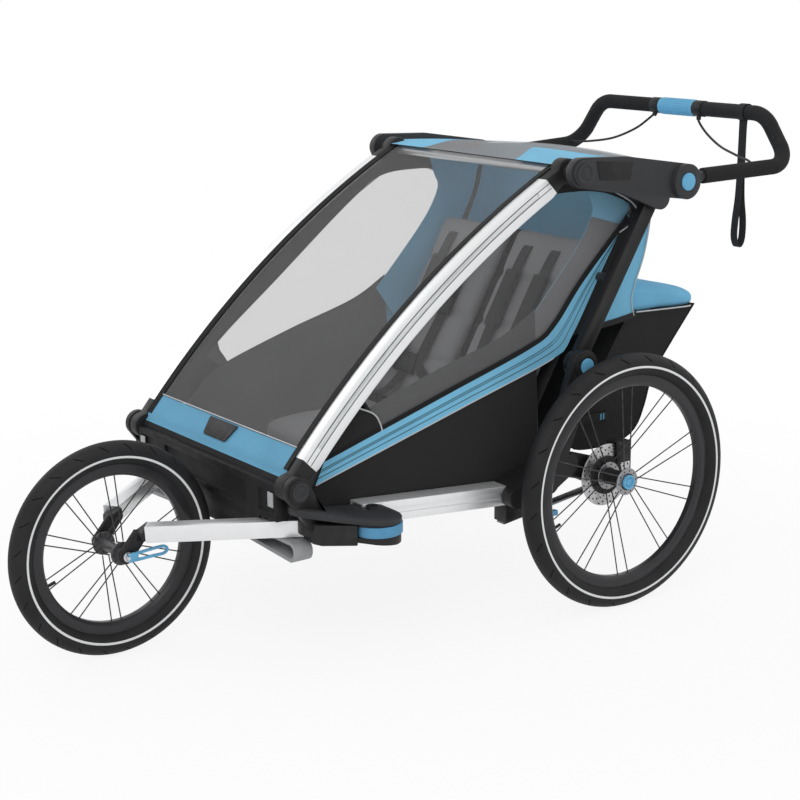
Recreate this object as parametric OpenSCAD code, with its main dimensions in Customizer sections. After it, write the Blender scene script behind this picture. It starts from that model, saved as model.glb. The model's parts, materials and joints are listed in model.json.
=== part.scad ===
// Two-seat child trailer with a jogging wheel. Millimetres, +Z up, forward is -Y.
// Pieces are drawn from the ground below the middle of the rear axle and shifted at the end,
// so that the origin is the middle of the footprint. Side shapes are drawn as [y, z].

/* [Wheels] */
// Outside diameter of the rear tyres
rear_wheel_d = 500; // [494:1:506]
// Outside diameter of the front tyre
front_wheel_d = 399; // [393:1:405]
// Width of every tyre
tyre_w = 44; // [42:1:46]
// Distance between the middle planes of the rear wheels
wheel_track = 738; // [732:1:748]
// Gap between the front tyre and the front panel
wheel_gap = 6.75; // [5:0.25:12]
// Spokes in each wheel
spoke_count = 20; // [16:4:24]
// Spoke diameter
spoke_d = 2.4; // [2:0.1:3]
// Brake disc diameter
disc_d = 124; // [118:1:128]

/* [Cabin] */
// Width over the cloth side walls
cabin_w = 508; // [502:2:512]
// Thickness of cloth pieces
cloth_t = 3; // [2.5:0.1:3.5]
// Depth of the bowed pillars
pillar_depth = 30; // [27:1:32]
// How far the pillars bow out from a straight line
pillar_bow = 41; // [36:1:45]
// Thickness of the rear struts
strut_w = 18; // [16:1:19]
// Depth of the rear struts
strut_depth = 30; // [26:1:32]
// Thickness of the consoles and uprights
console_w = 16; // [15:1:18]
// Height of the base rails
rail_h = 38; // [35:1:40]
// Rise of the roof above its edges
roof_rise = 16; // [10:1:22]

/* [Handlebar] */
// Tube diameter of the handlebar
bar_d = 22; // [20:1:24]
// Outside diameter of the foam grips
grip_d = 31; // [29:1:33]
// Height of the crossbar
bar_z = 915; // [908:1:922]
// Distance of the crossbar behind the rear axle
bar_y = 479; // [472:1:486]

/* [Jogging arms] */
// Side of the square arm tube
jog_side = 30; // [27:1:31]

/* [Hidden] */
$fn = 64;
// Running clearance on a radius, and gap between moving faces
fit = 0.05;
gap = 0.3;

// Pivots as [y, z]: pillar foot, pillar top, open strut pivot, handlebar hub, strut foot, suspension
pillar_foot = [-695, 340];
pillar_top = [-80, 842];
strut_top = [120, 780];
bar_hub = [178, 808];
strut_foot = [-66, 478];
swing_pivot = [-100, 290];
console_mid = [30, 830];

// Axles
rear_r = rear_wheel_d / 2;
front_r = front_wheel_d / 2;
rear_axle = [0, rear_r];
// The front tyre stands off the lower edge of the front panel
nose_front = -714;
nose_low = 276;
nose_high = 343;
wheelbase = wheel_gap - nose_front + sqrt(front_r * front_r - (nose_low - front_r) * (nose_low - front_r));
front_axle_at = [-wheelbase, front_r];
wheel_x = wheel_track / 2;
bead_depth = tyre_w - 3;
rim_depth = 21.5;

// Lanes across the width, from the cabin outwards
wall_out = cabin_w / 2;
wall_in = wall_out - cloth_t;
rail_in = wall_out + 2;
rail_out = rail_in + 41;
pillar_in = wall_out + 4;
pillar_out = pillar_in + 26;
strut_in = pillar_out + 3;
strut_out = strut_in + strut_w;
side_in = strut_out + 3;
side_out = side_in + console_w;
swing_in = rail_in + 6;
swing_out = strut_in + 13;
disc_x = wheel_x - 56;

// Pin and eye sizes
pin_r = 8;
eye_r = 24;
swing_pin_r = 9;
open_pin_r = 5;
open_eye_r = 15;
boss_r = 14;

// Bowed pillar arc through its two pivots
chord = pillar_top - pillar_foot;
chord_l = norm(chord);
bow_out = [-chord.y, chord.x] / chord_l;
bow_r = (chord_l * chord_l / 4 + pillar_bow * pillar_bow) / (2 * pillar_bow);
bow_centre = (pillar_foot + pillar_top) / 2 - bow_out * (bow_r - pillar_bow);
bow_low = atan2(pillar_foot.y - bow_centre.y, pillar_foot.x - bow_centre.x);
bow_high = atan2(pillar_top.y - bow_centre.y, pillar_top.x - bow_centre.x);

// Base rails and floor slope down to the rear
rail_drop = 0.0785;
rail_ref = [-435, 262];
rail_front = -560;
rail_rear = -205;
floor_t = 4;
floor_front = -690;
floor_rear = -110;
function rail_z(y) = rail_ref.y - (y - rail_ref.x) * rail_drop;
function floor_top(y) = rail_z(y) + floor_t / 2;
function floor_low(y) = rail_z(y) - floor_t / 2;

// Wing casting in plan as [x, y], wider and rounder to the rear, and its height
wing_front = [rail_in + 16, -642];
wing_rear = [strut_in + 54, -560];
wing_front_r = 33;
wing_rear_r = 42;
wing_top = 280;
lobe_out = strut_in + 40;
latch_low = 253;
latch_high = 272;
latch_r = wing_rear_r + 3;
latch_t = 10;
latch_travel = 3;
socket_at = [strut_in + 23, -548];
socket_top = 290;
socket_r = 6;
socket_depth = 22;

// Jogging arm from the front end to the end inside the wing
arm_front = [70, -wheelbase + 34, front_r + 41.5];
arm_rear = [rail_in + 34, -601, 260];
dropout_in = 48;
dropout_out = 58;
lever_x = 67;

// Leaf spring runs under the swing arm's bearing
leaf_rise = 0.13;
leaf_t = 4;
function leaf_top(y) = rear_r + leaf_rise * y - (27 + gap) * sqrt(1 + leaf_rise * leaf_rise);

// Seats
seat_front = -455;
seat_rear = -190;
seat_top_front = 322;
seat_top_rear = 340;
seat_half = wall_in - 16;
back_at = [-192, 340];
back_tilt = 30;
back_t = 35;
back_h = 425;
back_gap = 10;

// Roof cloth, arched between the consoles and sloping down to the rear
roof_front = -50;
roof_rear = 150;
roof_edge = 858;
roof_slope = 5.3;
arch_r = (side_in * side_in + roof_rise * roof_rise) / (2 * roof_rise);
function roof_under(x, y) = roof_edge - (y - roof_front) * tan(roof_slope) + roof_rise - arch_r
  + sqrt(arch_r * arch_r - x * x) - cloth_t / cos(roof_slope);

// Back panel closes the cabin from the bag lid up to the roof
panel_half = wall_in - 8;
panel_y = roof_rear - cloth_t - 1;
panel_low = 575;
panel_bulge = [20, 735];

// Cargo bag
bag_half = 226;
bag_rim = 540;
bag_t = 4;
bag_tab = swing_pivot.x + boss_r + gap;

// Handlebar corners on the left side
bar_start = [strut_in + 5, bar_hub.x, bar_hub.y];
bar_bend = [318.7, bar_y - 1.5, bar_z - 97];
bar_top = [246.5, bar_y, bar_z];
bend_r = 45;
top_bend_r = 60;
bend_step = 0.2;
bend_lap = 2;
bar_r = bar_d / 2;
grip_r = grip_d / 2;
sleeve_half = 51;
sleeve_r = 18;
housing_end = 77;
grip_start = 77;

// Brake cable routes, chosen by hand on the left and right
cable_r = 2.5;
cable_left = [[64, bar_y - 6, bar_z - 14], [74, bar_y - 14, bar_z - 26], [110, bar_y - 26, bar_z - 48],
              [170, bar_y - 48, bar_z - 68], [240, bar_y - 76, bar_z - 78], [295, bar_y - 96, bar_z - 84],
              [312, bar_y - 100, bar_z - 92]];
cable_right = [[-64, bar_y - 6, bar_z - 14], [-74, bar_y - 14, bar_z - 26], [-110, bar_y - 24, bar_z - 52],
               [-170, bar_y - 34, bar_z - 76], [-240, bar_y - 40, bar_z - 88], [-290, bar_y - 44, bar_z - 92],
               [-311, bar_y - 46, bar_z - 94]];

// Shift to the middle of the footprint
front_end = -wheelbase - front_r;
rear_end = bar_y + sleeve_r;
shift_y = -(front_end + rear_end) / 2;

// Side shape drawn as [y, z], extruded from x0 to x1
module side(x0, x1) {
  translate([x0, 0, 0]) rotate([90, 0, 90]) linear_extrude(x1 - x0) children();
}

// Round bar along X through the side point p
module cross_pin(p, x0, x1, r) {
  side(x0, x1) translate(p) circle(r);
}

// Two circles joined by their common tangents, tucked in so that they cross the circles cleanly
module link(p, rp, q, rq) {
  a = atan2(q.y - p.y, q.x - p.x);
  b = acos((rp - rq) / norm(q - p));
  tuck = 0.02;
  up = [cos(a + b), sin(a + b)];
  down = [cos(a - b), sin(a - b)];
  translate(p) circle(rp);
  translate(q) circle(rq);
  polygon([p + (rp - tuck) * up, p + (rp - tuck) * down, q + (rq - tuck) * down, q + (rq - tuck) * up]);
}

// Part of the pillar arc, offset in and out of its middle line, between two angles
module bow_band(inner, outer, low, high) {
  reach = 2 * bow_r;
  mid = (low + high) / 2;
  intersection() {
    translate(bow_centre) difference() {
      circle(bow_r + outer, $fn = 360);
      circle(bow_r + inner, $fn = 360);
    }
    polygon([bow_centre, bow_centre + reach * [cos(low), sin(low)], bow_centre + reach * [cos(mid), sin(mid)],
             bow_centre + reach * [cos(high), sin(high)]]);
  }
}

// Angle along the pillar arc at a distance above the pillar foot
function bow_at(s) = bow_low - s / bow_r * 180 / PI;

// Straight round rod between two points
module rod(a, b, r) {
  d = b - a;
  l = norm(d);
  translate(a) rotate([0, acos(d.z / l), atan2(d.y, d.x)]) cylinder(h = l, r = r);
}

// Rounded corner of a tube at q, coming from p and going to s
function unit(v) = v / norm(v);
function turn(p, q, s) = acos(unit(q - p) * unit(s - q));
function setback(p, q, s, r) = r * tan(turn(p, q, s) / 2);
module bend(p, q, s, r, inner, outer) {
  u = unit(q - p);
  v = unit(s - q);
  n = unit(v - u * (u * v));
  w = cross(u, n);
  c = q - u * setback(p, q, s, r) + n * r;
  multmatrix([[-n.x, u.x, w.x, c.x], [-n.y, u.y, w.y, c.y], [-n.z, u.z, w.z, c.z], [0, 0, 0, 1]])
    rotate_extrude(angle = turn(p, q, s)) translate([r, 0]) difference() {
      circle(outer);
      if (inner > 0) circle(inner);
    }
}

// Pipe between two points, solid when inner is 0
module pipe(a, b, inner, outer) {
  d = b - a;
  l = norm(d);
  translate(a) rotate([0, acos(d.z / l), atan2(d.y, d.x)]) linear_extrude(l) difference() {
    circle(outer);
    if (inner > 0) circle(inner);
  }
}

// Left half of the handlebar line from the arm point to the crossbar point.
// The bends are slightly fuller than the straights, which lap into them.
module bar_line(arm_from, cross_to, inner, outer) {
  along = unit(bar_bend - bar_start);
  rise = unit(bar_top - bar_bend);
  t1 = setback(bar_start, bar_bend, bar_top, bend_r) - bend_lap;
  t2 = setback(bar_bend, bar_top, [0, bar_y, bar_z], top_bend_r) - bend_lap;
  fuller = inner > 0 ? inner + bend_step : 0;
  pipe(bar_start + along * arm_from, bar_bend - along * t1, inner, outer);
  bend(bar_start, bar_bend, bar_top, bend_r, fuller, outer + bend_step);
  pipe(bar_bend + rise * t1, bar_top - rise * t2, inner, outer);
  bend(bar_bend, bar_top, [0, bar_y, bar_z], top_bend_r, fuller, outer + bend_step);
  pipe([bar_top.x - t2, bar_y, bar_z], [cross_to, bar_y, bar_z], inner, outer);
}

// Smooth curve through route points
function spline(a, b, c, d, t) = 0.5 * (2 * b + (c - a) * t + (2 * a - 5 * b + 4 * c - d) * t * t
                                        + (3 * b - a - 3 * c + d) * t * t * t);
function smooth(route, steps) = let(n = len(route)) concat([for (i = [0 : n - 2]) for (k = [0 : steps - 1])
  spline(route[max(i - 1, 0)], route[i], route[i + 1], route[min(i + 2, n - 1)], k / steps)], [route[n - 1]]);

// Cable swept along a route that runs mostly along X
module cable(route, r) {
  path = smooth(route, 6);
  n = len(path);
  m = 10;
  rings = [for (i = [0 : n - 1])
    let(t = unit(path[min(i + 1, n - 1)] - path[max(i - 1, 0)]),
        e = unit(cross(t, [0, 1, 0])),
        f = cross(t, e))
    for (k = [0 : m - 1]) path[i] + r * (cos(360 * k / m) * e + sin(360 * k / m) * f)];
  faces = concat([[for (k = [0 : m - 1]) k]],
                 [for (i = [0 : n - 2]) for (k = [0 : m - 1])
                   [i * m + k, (i + 1) * m + k, (i + 1) * m + (k + 1) % m, i * m + (k + 1) % m]],
                 [[for (k = [m - 1 : -1 : 0]) (n - 1) * m + k]]);
  polyhedron(rings, faces);
}

// Wheel pieces turn about X at a side point
module at_axle(x, p) {
  translate([x, p.x, p.y]) rotate([0, 90, 0]) children();
}

// Tyre, rim and paired spokes of a wheel with the given outside radius
module tyre(r) {
  rotate_extrude() difference() {
    translate([r - tyre_w / 2, 0]) circle(tyre_w / 2);
    translate([0, -tyre_w]) square([r - bead_depth, 2 * tyre_w]);
  }
}
module rim(r) {
  out = r - bead_depth;
  in = out - rim_depth;
  rotate_extrude() polygon([[in, -6], [in + 6, -11], [out, -11], [out, 11], [in + 6, 11], [in, 6]]);
}
module spokes(r, flange_r, inner_x, outer_x) {
  reach = r - bead_depth - rim_depth + 1.5;
  rim_spread = 4;
  for (k = [0 : spoke_count / 2 - 1]) for (s = [-1, 1]) {
    a = 720 * k / spoke_count;
    hole = a + s * 360 / spoke_count;
    nipple = a + s * rim_spread;
    x = k % 2 == 0 ? inner_x : outer_x;
    rod([flange_r * cos(hole), flange_r * sin(hole), x], [reach * cos(nipple), reach * sin(nipple), 0],
        spoke_d / 2);
  }
}

// Base rail with a groove along its outer side
module rail_block(inset, x0, x1) {
  side(x0, x1) polygon([[rail_front, rail_z(rail_front) - rail_h / 2 + inset],
                        [rail_rear, rail_z(rail_rear) - rail_h / 2 + inset],
                        [rail_rear, rail_z(rail_rear) + rail_h / 2 - inset],
                        [rail_front, rail_z(rail_front) + rail_h / 2 - inset]]);
}
module base_rail() {
  difference() {
    rail_block(0, rail_in, rail_out);
    rail_block(rail_h / 2 - 5, rail_out - 4, rail_out + 1);
    rail_block(4, rail_in + 4, rail_out - 8);
  }
}

// Square jogging arm tube
module arm_tube() {
  d = arm_rear - arm_front;
  translate(arm_front) rotate([0, -asin(d.z / norm(d)), atan2(d.y, d.x)])
    translate([0, -jog_side / 2, -jog_side / 2]) cube([norm(d), jog_side, jog_side]);
}
module jog_arm() {
  corner = [arm_front.y, arm_front.z];
  color([0.75, 0.76, 0.78]) arm_tube();
  difference() {
    union() {
      side(dropout_in, dropout_out) link(front_axle_at, 16, corner, 15);
      side(dropout_in, arm_front.x + 10) translate(corner - [14, 15]) square([27, 30]);
    }
    cross_pin(front_axle_at, 0, 100, 4.5);
  }
}

// Wing casting: flat plate with a lobe for the pillar, sockets for rail and arm, and a latch pocket
module wing_block() {
  under = [[-690, 252], [-640, 248], [-545, 236], [-500, 236]];
  over = wing_top + 1;
  intersection() {
    linear_extrude(wing_top) {
      link(wing_front, wing_front_r, wing_rear, wing_rear_r);
      polygon([[rail_in, wing_front.y], wing_front, wing_rear, [wing_rear.x, wing_rear.y + wing_rear_r],
               [rail_in, wing_rear.y + wing_rear_r]]);
    }
    side(rail_in, wing_rear.x + wing_rear_r + 1) polygon(concat(under, [[-500, over], [-690, over]]));
  }
}
module latch_band(inner, outer, from_x, low, high) {
  translate([0, 0, low]) linear_extrude(high - low) intersection() {
    translate(wing_rear) difference() {
      circle(outer);
      circle(inner);
    }
    translate([from_x, wing_rear.y - 2 * wing_rear_r]) square(4 * wing_rear_r);
  }
}
module wing() {
  neck = [-648, 262];
  difference() {
    union() {
      wing_block();
      side(strut_in, lobe_out) link(pillar_foot, 30, neck, 16);
      cross_pin(pillar_foot, pillar_in + 4, strut_in, pin_r);
      cross_pin(pillar_foot, lobe_out, lobe_out + 6, eye_r);
      translate([socket_at.x, socket_at.y, latch_high])
        cylinder(h = socket_top - latch_high, r = 2 * socket_r);
    }
    rail_block(0, rail_in - 1, rail_out);
    arm_tube();
    latch_band(latch_r - latch_t - latch_travel - 1, latch_r + 5, wing_rear.x + 2, latch_low - gap,
               latch_high + gap);
    translate([socket_at.x, socket_at.y, socket_top - socket_depth])
      cylinder(h = socket_depth + 1, r = socket_r);
  }
}
module wing_latch() {
  latch_band(latch_r - latch_t, latch_r, wing_rear.x + 3 + latch_travel, latch_low, latch_high);
}

// Front shape drawn as [x, z], extruded from y0 to y1
module front_view(y0, y1) {
  translate([0, y1, 0]) rotate([90, 0, 0]) linear_extrude(y1 - y0) children();
}

// Grey bumper loop below the front panel, hung from the floor and the wing
module bumper() {
  ahead = -690;
  behind = -654;
  reach = (ahead - jog_side / 2 - arm_front.y) / (arm_rear.y - arm_front.y);
  arm_low = arm_front.z + (arm_rear.z - arm_front.z) * reach - jog_side / 2;
  outer_r = 19;
  inner_r = 15;
  wall = 7;
  outer = [wall_out + 4, arm_low - gap - outer_r];
  inner = [wall_out - 134, arm_low - 2 - inner_r];
  post_low = inner.y + inner_r - wall;
  difference() {
    union() {
      front_view(ahead, behind) difference() {
        link(outer, outer_r, inner, inner_r);
        link(outer, outer_r - wall, inner, inner_r - wall);
      }
      side(inner.x - wall, inner.x + wall) polygon([[ahead, post_low], [behind, post_low],
                                                    [behind, floor_low(behind)], [ahead, floor_low(ahead)]]);
    }
    wing_block();
  }
}

// Front panel between the wings, with a recess at each end for a reflector and a wide one between them
module front_panel() {
  mid = (nose_low + nose_high) / 2;
  color([0.09, 0.09, 0.1]) difference() {
    side(-rail_in, rail_in) translate([nose_front, nose_low])
      square([floor_front - nose_front, nose_high - nose_low]);
    for (s = [-1, 1]) translate([s * (rail_in - 34), nose_front, mid]) cube([52, 8, 40], center = true);
    translate([0, nose_front, mid]) cube([300, 12, 36], center = true);
  }
}

module floor_pan() {
  color([0.12, 0.12, 0.13]) side(-rail_in, rail_in)
    polygon([[floor_front, floor_low(floor_front)], [floor_rear, floor_low(floor_rear)],
             [floor_rear, floor_top(floor_rear)], [floor_front, floor_top(floor_front)]]);
}

// Rear casting, upright, suspension pin and strut pin on one side
cast_front = [-225, 246];
cast_rear = [-165, 258];
module rear_side() {
  foot = [-235, -175];
  difference() {
    union() {
      side(rail_in, side_out) link(cast_front, 21, cast_rear, 25);
      side(side_in, side_out) {
        link(cast_rear, 25, swing_pivot, 20);
        link(cast_rear + [15, 5], 24, strut_foot, 30);
      }
      side(rail_in + 6, rail_out) polygon([[foot[0], leaf_top(foot[0])], [foot[1], leaf_top(foot[1])],
                                           [foot[1], cast_rear.y], [foot[0], cast_front.y]]);
      cross_pin(swing_pivot, 0, swing_in - gap, boss_r);
      cross_pin(swing_pivot, 0, side_in + 1, swing_pin_r);
      cross_pin(strut_foot, strut_in + 2, side_in + 1, pin_r);
      cross_pin(strut_foot, side_out, side_out + 5, 25);
    }
    rail_block(0, rail_in - 1, rail_out);
    cross_pin(strut_foot, side_out - 5, side_out + 6, 15 + gap);
  }
}
module rear_frame() {
  color([0.1, 0.1, 0.11]) {
    rear_side();
    mirror([1, 0, 0]) rear_side();
  }
}
module fold_button() {
  cross_pin(strut_foot, side_out - 1, side_out + 8, 15);
}

// Lower side wall up to the top of the coloured band
wall_edge = [[-605, 374], [-342, 456], [-139, 519], [-100, 531]];
module side_wall() {
  front = -660;
  rear = -119;
  side(wall_in, wall_out) polygon([[front, floor_top(front)], [rear, floor_top(rear)], wall_edge[3],
                                   wall_edge[2], wall_edge[1], wall_edge[0], [-668, 318]]);
}
module side_window() {
  side(wall_in, wall_out) intersection() {
    polygon(concat(wall_edge, [[-86, 552], [-21, 628], [82, 728], [102, 743], [65, 772], [-7, 795],
                               [-70, 803], [-110, 830], [-250, 800], [-600, 500]]));
    translate(bow_centre) circle(bow_r + 6, $fn = 360);
  }
}

// Quick-release axle of the front wheel, with its lever
module front_axle() {
  color([0.7, 0.7, 0.72]) {
    cross_pin(front_axle_at, -dropout_out - 12, dropout_out + 4, 4.5);
    cross_pin(front_axle_at, -dropout_out - 12, -dropout_out, 9);
    cross_pin(front_axle_at, dropout_out, dropout_out + 4, 9);
    translate([lever_x - 1, front_axle_at.x, front_axle_at.y]) cube([10, 10, 6], center = true);
    translate([lever_x, front_axle_at.x, front_axle_at.y - 9]) cylinder(h = 18, r = 2.5);
  }
}
module quick_lever() {
  color([0.2, 0.42, 0.56]) difference() {
    union() {
      translate([lever_x, front_axle_at.x, front_axle_at.y - 9]) cylinder(h = 18, r = 4.5);
      side(lever_x - 3, lever_x + 4.5) link(front_axle_at + [9, 0], 8, front_axle_at + [66, 2], 9);
    }
    translate([lever_x, front_axle_at.x, front_axle_at.y - 10]) cylinder(h = 20, r = 2.5 + fit);
    translate([lever_x, front_axle_at.x, front_axle_at.y - 3 - gap]) cylinder(h = 6 + 2 * gap, r = 9);
  }
}

// Seat cushion with two crowned seats and a low strip between them
module seat_base() {
  corner = 18;
  low_front = [seat_front, floor_top(seat_front) + fit];
  low_rear = [seat_rear, floor_top(seat_rear) + fit];
  crown_r = 900;
  color([0.32, 0.33, 0.35]) {
    for (s = [-1, 1]) intersection() {
      side(min(s * 10, s * seat_half), max(s * 10, s * seat_half)) {
        polygon([low_front, low_rear, [seat_rear, seat_top_rear - corner],
                 [seat_rear - corner, seat_top_rear], [seat_front + corner, seat_top_front],
                 [seat_front, seat_top_front - corner]]);
        translate([seat_rear - corner, seat_top_rear - corner]) circle(corner);
        translate([seat_front + corner, seat_top_front - corner]) circle(corner);
      }
      translate([s * (seat_half + 10) / 2, seat_rear + 50, seat_top_rear + 2 - crown_r]) rotate([90, 0, 0])
        cylinder(h = 500, r = crown_r, $fn = 360);
    }
    side(-12, 12) polygon([low_front, low_rear, [seat_rear, seat_top_rear - 50],
                           [seat_front, seat_top_front - 40]]);
  }
}

// Leaning frame of the seat backs: local -Y is the front, +Z runs up the back
module on_back() {
  translate([0, back_at.x, back_at.y]) rotate([-back_tilt, 0, 0]) children();
}
module rounded_panel(x0, x1, h, r) {
  translate([x0 + r, h - r]) circle(r);
  translate([x1 - r, h - r]) circle(r);
  polygon([[x0, 0], [x1, 0], [x1, h - r], [x1 - r, h], [x0 + r, h], [x0, h - r]]);
}
module seat_back() {
  crown_r = 420;
  channel_r = 14;
  channels = [105, 210, 315];
  color([0.34, 0.35, 0.37]) on_back() for (s = [-1, 1]) difference() {
    intersection() {
      rotate([90, 0, 0]) translate([0, 0, -back_t - back_gap + 9]) linear_extrude(back_t)
        rounded_panel(s > 0 ? 10 : -seat_half, s > 0 ? seat_half : -10, back_h, 60);
      translate([s * (seat_half + 10) / 2, crown_r - back_gap + 10, -20])
        cylinder(h = back_h + 40, r = crown_r, $fn = 240);
    }
    for (z = channels) translate([s > 0 ? 0 : -250, -channel_r + 4, z]) rotate([0, 90, 0])
      cylinder(h = 250, r = channel_r);
  }
}

// Shoulder straps, lap straps and buckles lying on the seat backs
module harness() {
  color([0.13, 0.13, 0.14]) on_back() for (s = [-1, 1]) {
    mid = s * (seat_half + 10) / 2;
    for (e = [-1, 1]) {
      translate([mid + e * 42 - 13, -6, 40]) cube([26, 12, 330]);
      translate([mid + e * 42 - 20, -14, 200]) cube([40, 12, 120]);
    }
    translate([mid - 34, -16, 60]) cube([68, 16, 46]);
    translate([mid - 12, -8, -8]) cube([24, 10, 76]);
  }
}

// Cloth panel that closes the back above the bag
module back_panel() {
  top = roof_under(panel_half, panel_y + cloth_t) - gap;
  color([0.22, 0.45, 0.58]) side(-panel_half, panel_half)
    polygon([[panel_y, panel_low], [panel_y + cloth_t, panel_low],
             [panel_y + panel_bulge.x + cloth_t, panel_bulge.y], [panel_y + cloth_t, top], [panel_y, top],
             [panel_y + panel_bulge.x, panel_bulge.y]]);
}

// Open-topped cargo bag and its padded lid
module cargo_bag() {
  color([0.1, 0.1, 0.11]) difference() {
    side(-bag_half, bag_half)
      polygon([[bag_tab, swing_pivot.y - 6], [-30, 246], [96, 246], [150, 280], [318, bag_rim],
               [128, bag_rim], [-36, 298], [bag_tab, swing_pivot.y + 6]]);
    side(-bag_half + bag_t, bag_half - bag_t)
      polygon([[-44, 266], [-28, 246 + bag_t], [94, 246 + bag_t], [146, 282], [313, bag_rim + 1],
               [133, bag_rim + 1], [-28, 296]]);
  }
}
module bag_lid() {
  half = bag_half + 8;
  crown_r = 1400;
  color([0.24, 0.48, 0.61]) intersection() {
    side(-half, half) {
      polygon([[124, bag_rim], [316, bag_rim], [328, 552], [318, 564], [240, 582], [150, 592], [124, 584]]);
      translate([317, 552]) circle(12);
    }
    translate([0, 400, 592 - crown_r]) rotate([90, 0, 0]) cylinder(h = 400, r = crown_r, $fn = 360);
  }
}

module leaf_spring() {
  front = -235;
  rear = 14;
  side(swing_in + 8, swing_out - 8) polygon([[front, leaf_top(front)], [front, leaf_top(front) - leaf_t],
                                            [rear, leaf_top(rear) - leaf_t], [rear, leaf_top(rear)]]);
}

// Bowed pillar with a round eye at each end and a groove on its outer side
module pillar() {
  half = pillar_depth / 2;
  difference() {
    side(pillar_in, pillar_out) {
      bow_band(-half, half, bow_low, bow_high);
      translate(pillar_foot) circle(eye_r);
      translate(pillar_top) circle(eye_r);
    }
    side(pillar_out - 4, pillar_out + 1) bow_band(-5, 5, bow_at(85), bow_at(chord_l - 75));
    cross_pin(pillar_foot, pillar_in + 4 - gap, pillar_out + 1, pin_r + fit);
    cross_pin(pillar_top, pillar_in + 4 - gap, pillar_out + 1, pin_r + fit);
  }
}
module roof_bar() {
  color([0.75, 0.76, 0.78]) cross_pin(pillar_top, -pillar_in, pillar_in, 9);
}
module front_cover() {
  out = pillar_depth / 2;
  color([0.25, 0.25, 0.27]) side(-pillar_in, pillar_in) bow_band(out - cloth_t, out, bow_at(26), bow_high);
}

// Console beam with the pillar pin, the open strut pin and the handlebar hub
module console() {
  difference() {
    union() {
      side(side_in, side_out) {
        link(pillar_top, 28, console_mid, 35);
        link(console_mid, 35, bar_hub, 34);
        link(console_mid, 35, strut_top, 22);
      }
      cross_pin(pillar_top, pillar_out + gap, side_in, boss_r);
      cross_pin(pillar_top, pillar_in + 4, pillar_out + gap, pin_r);
      cross_pin(pillar_top, side_out, side_out + 7, 24);
      cross_pin(strut_top, strut_in + 1, side_in, open_pin_r);
      cross_pin(bar_hub, side_out, side_out + 12, 34);
    }
    cross_pin(bar_hub, side_in - 1, side_in + 10, swing_pin_r + fit);
    cross_pin(bar_hub, side_out + 3, side_out + 13, 17 + gap);
  }
}
module hub_button() {
  cross_pin(bar_hub, side_out + 7, side_out + 15, 17);
}

// Roof cloth arched between the consoles and sloping down to the rear
module roof() {
  l = roof_rear - roof_front;
  color([0.2, 0.42, 0.55]) translate([0, roof_front, roof_edge]) rotate([-roof_slope, 0, 0]) intersection() {
    translate([0, 0, roof_rise - arch_r]) rotate([-90, 0, 0]) difference() {
      cylinder(h = l, r = arch_r, $fn = 720);
      translate([0, 0, -1]) cylinder(h = l + 2, r = arch_r - cloth_t, $fn = 720);
    }
    translate([-side_in, -1, -2 * cloth_t]) cube([2 * side_in, l + 2, roof_rise + 4 * cloth_t]);
  }
}

// Rear strut with a running eye at the foot and a wide open eye at the top
module strut() {
  half = strut_depth / 2;
  difference() {
    side(strut_in, strut_out) {
      link(strut_foot, half, strut_top, half);
      translate(strut_foot) circle(eye_r);
      translate(strut_top) circle(22);
    }
    cross_pin(strut_foot, strut_in + 2 - gap, strut_out + 1, pin_r + fit);
    cross_pin(strut_top, strut_in - 1, strut_out + 1, open_eye_r);
  }
}
module strut_bar() {
  color([0.75, 0.76, 0.78]) cross_pin((strut_foot + strut_top) / 2, -strut_in, strut_in, 9);
}

// Handlebar tube with a disc and a pin at each hub
module bar_side() {
  bar_line(0, -1, 0, bar_r);
  cross_pin(bar_hub, strut_in, side_in - gap, 27);
  cross_pin(bar_hub, side_in - gap, side_in + 9, swing_pin_r);
}
module handlebar() {
  color([0.7, 0.7, 0.72]) {
    bar_side();
    mirror([1, 0, 0]) bar_side();
  }
}
module grip_side() {
  bar_line(75, grip_start, bar_r, grip_r);
}
module grips() {
  color([0.14, 0.14, 0.15]) {
    grip_side();
    mirror([1, 0, 0]) grip_side();
  }
}
module housing_side() {
  difference() {
    union() {
      cross_pin([bar_y, bar_z], sleeve_half + gap, housing_end, 17);
      rod([64, bar_y - 4, bar_z - 10], [68, bar_y - 9, bar_z - 22], 5);
    }
    cross_pin([bar_y, bar_z], 0, housing_end + 1, bar_r);
  }
}
module brake_housings() {
  color([0.08, 0.08, 0.09]) {
    housing_side();
    mirror([1, 0, 0]) housing_side();
  }
}
module brake_sleeve() {
  color([0.24, 0.5, 0.66]) difference() {
    cross_pin([bar_y, bar_z], -sleeve_half, sleeve_half, sleeve_r);
    cross_pin([bar_y, bar_z], -sleeve_half - 1, sleeve_half + 1, bar_r + fit);
  }
}
module wrist_strap() {
  x0 = 182;
  width = 18;
  band = 2;
  drop = [bar_y - 4, bar_z - 268];
  color([0.1, 0.1, 0.11]) side(x0, x0 + width) difference() {
    union() {
      translate([bar_y, bar_z]) circle(grip_r + band);
      link([bar_y - 2, bar_z - 26], 9, drop, 13);
    }
    translate([bar_y, bar_z]) circle(grip_r);
    link([bar_y - 2, bar_z - 26], 9 - band, drop, 13 - band);
  }
}
module brake_cables() {
  color([0.06, 0.06, 0.07]) {
    cable(cable_left, cable_r);
    cable(cable_right, cable_r);
  }
}

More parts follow.
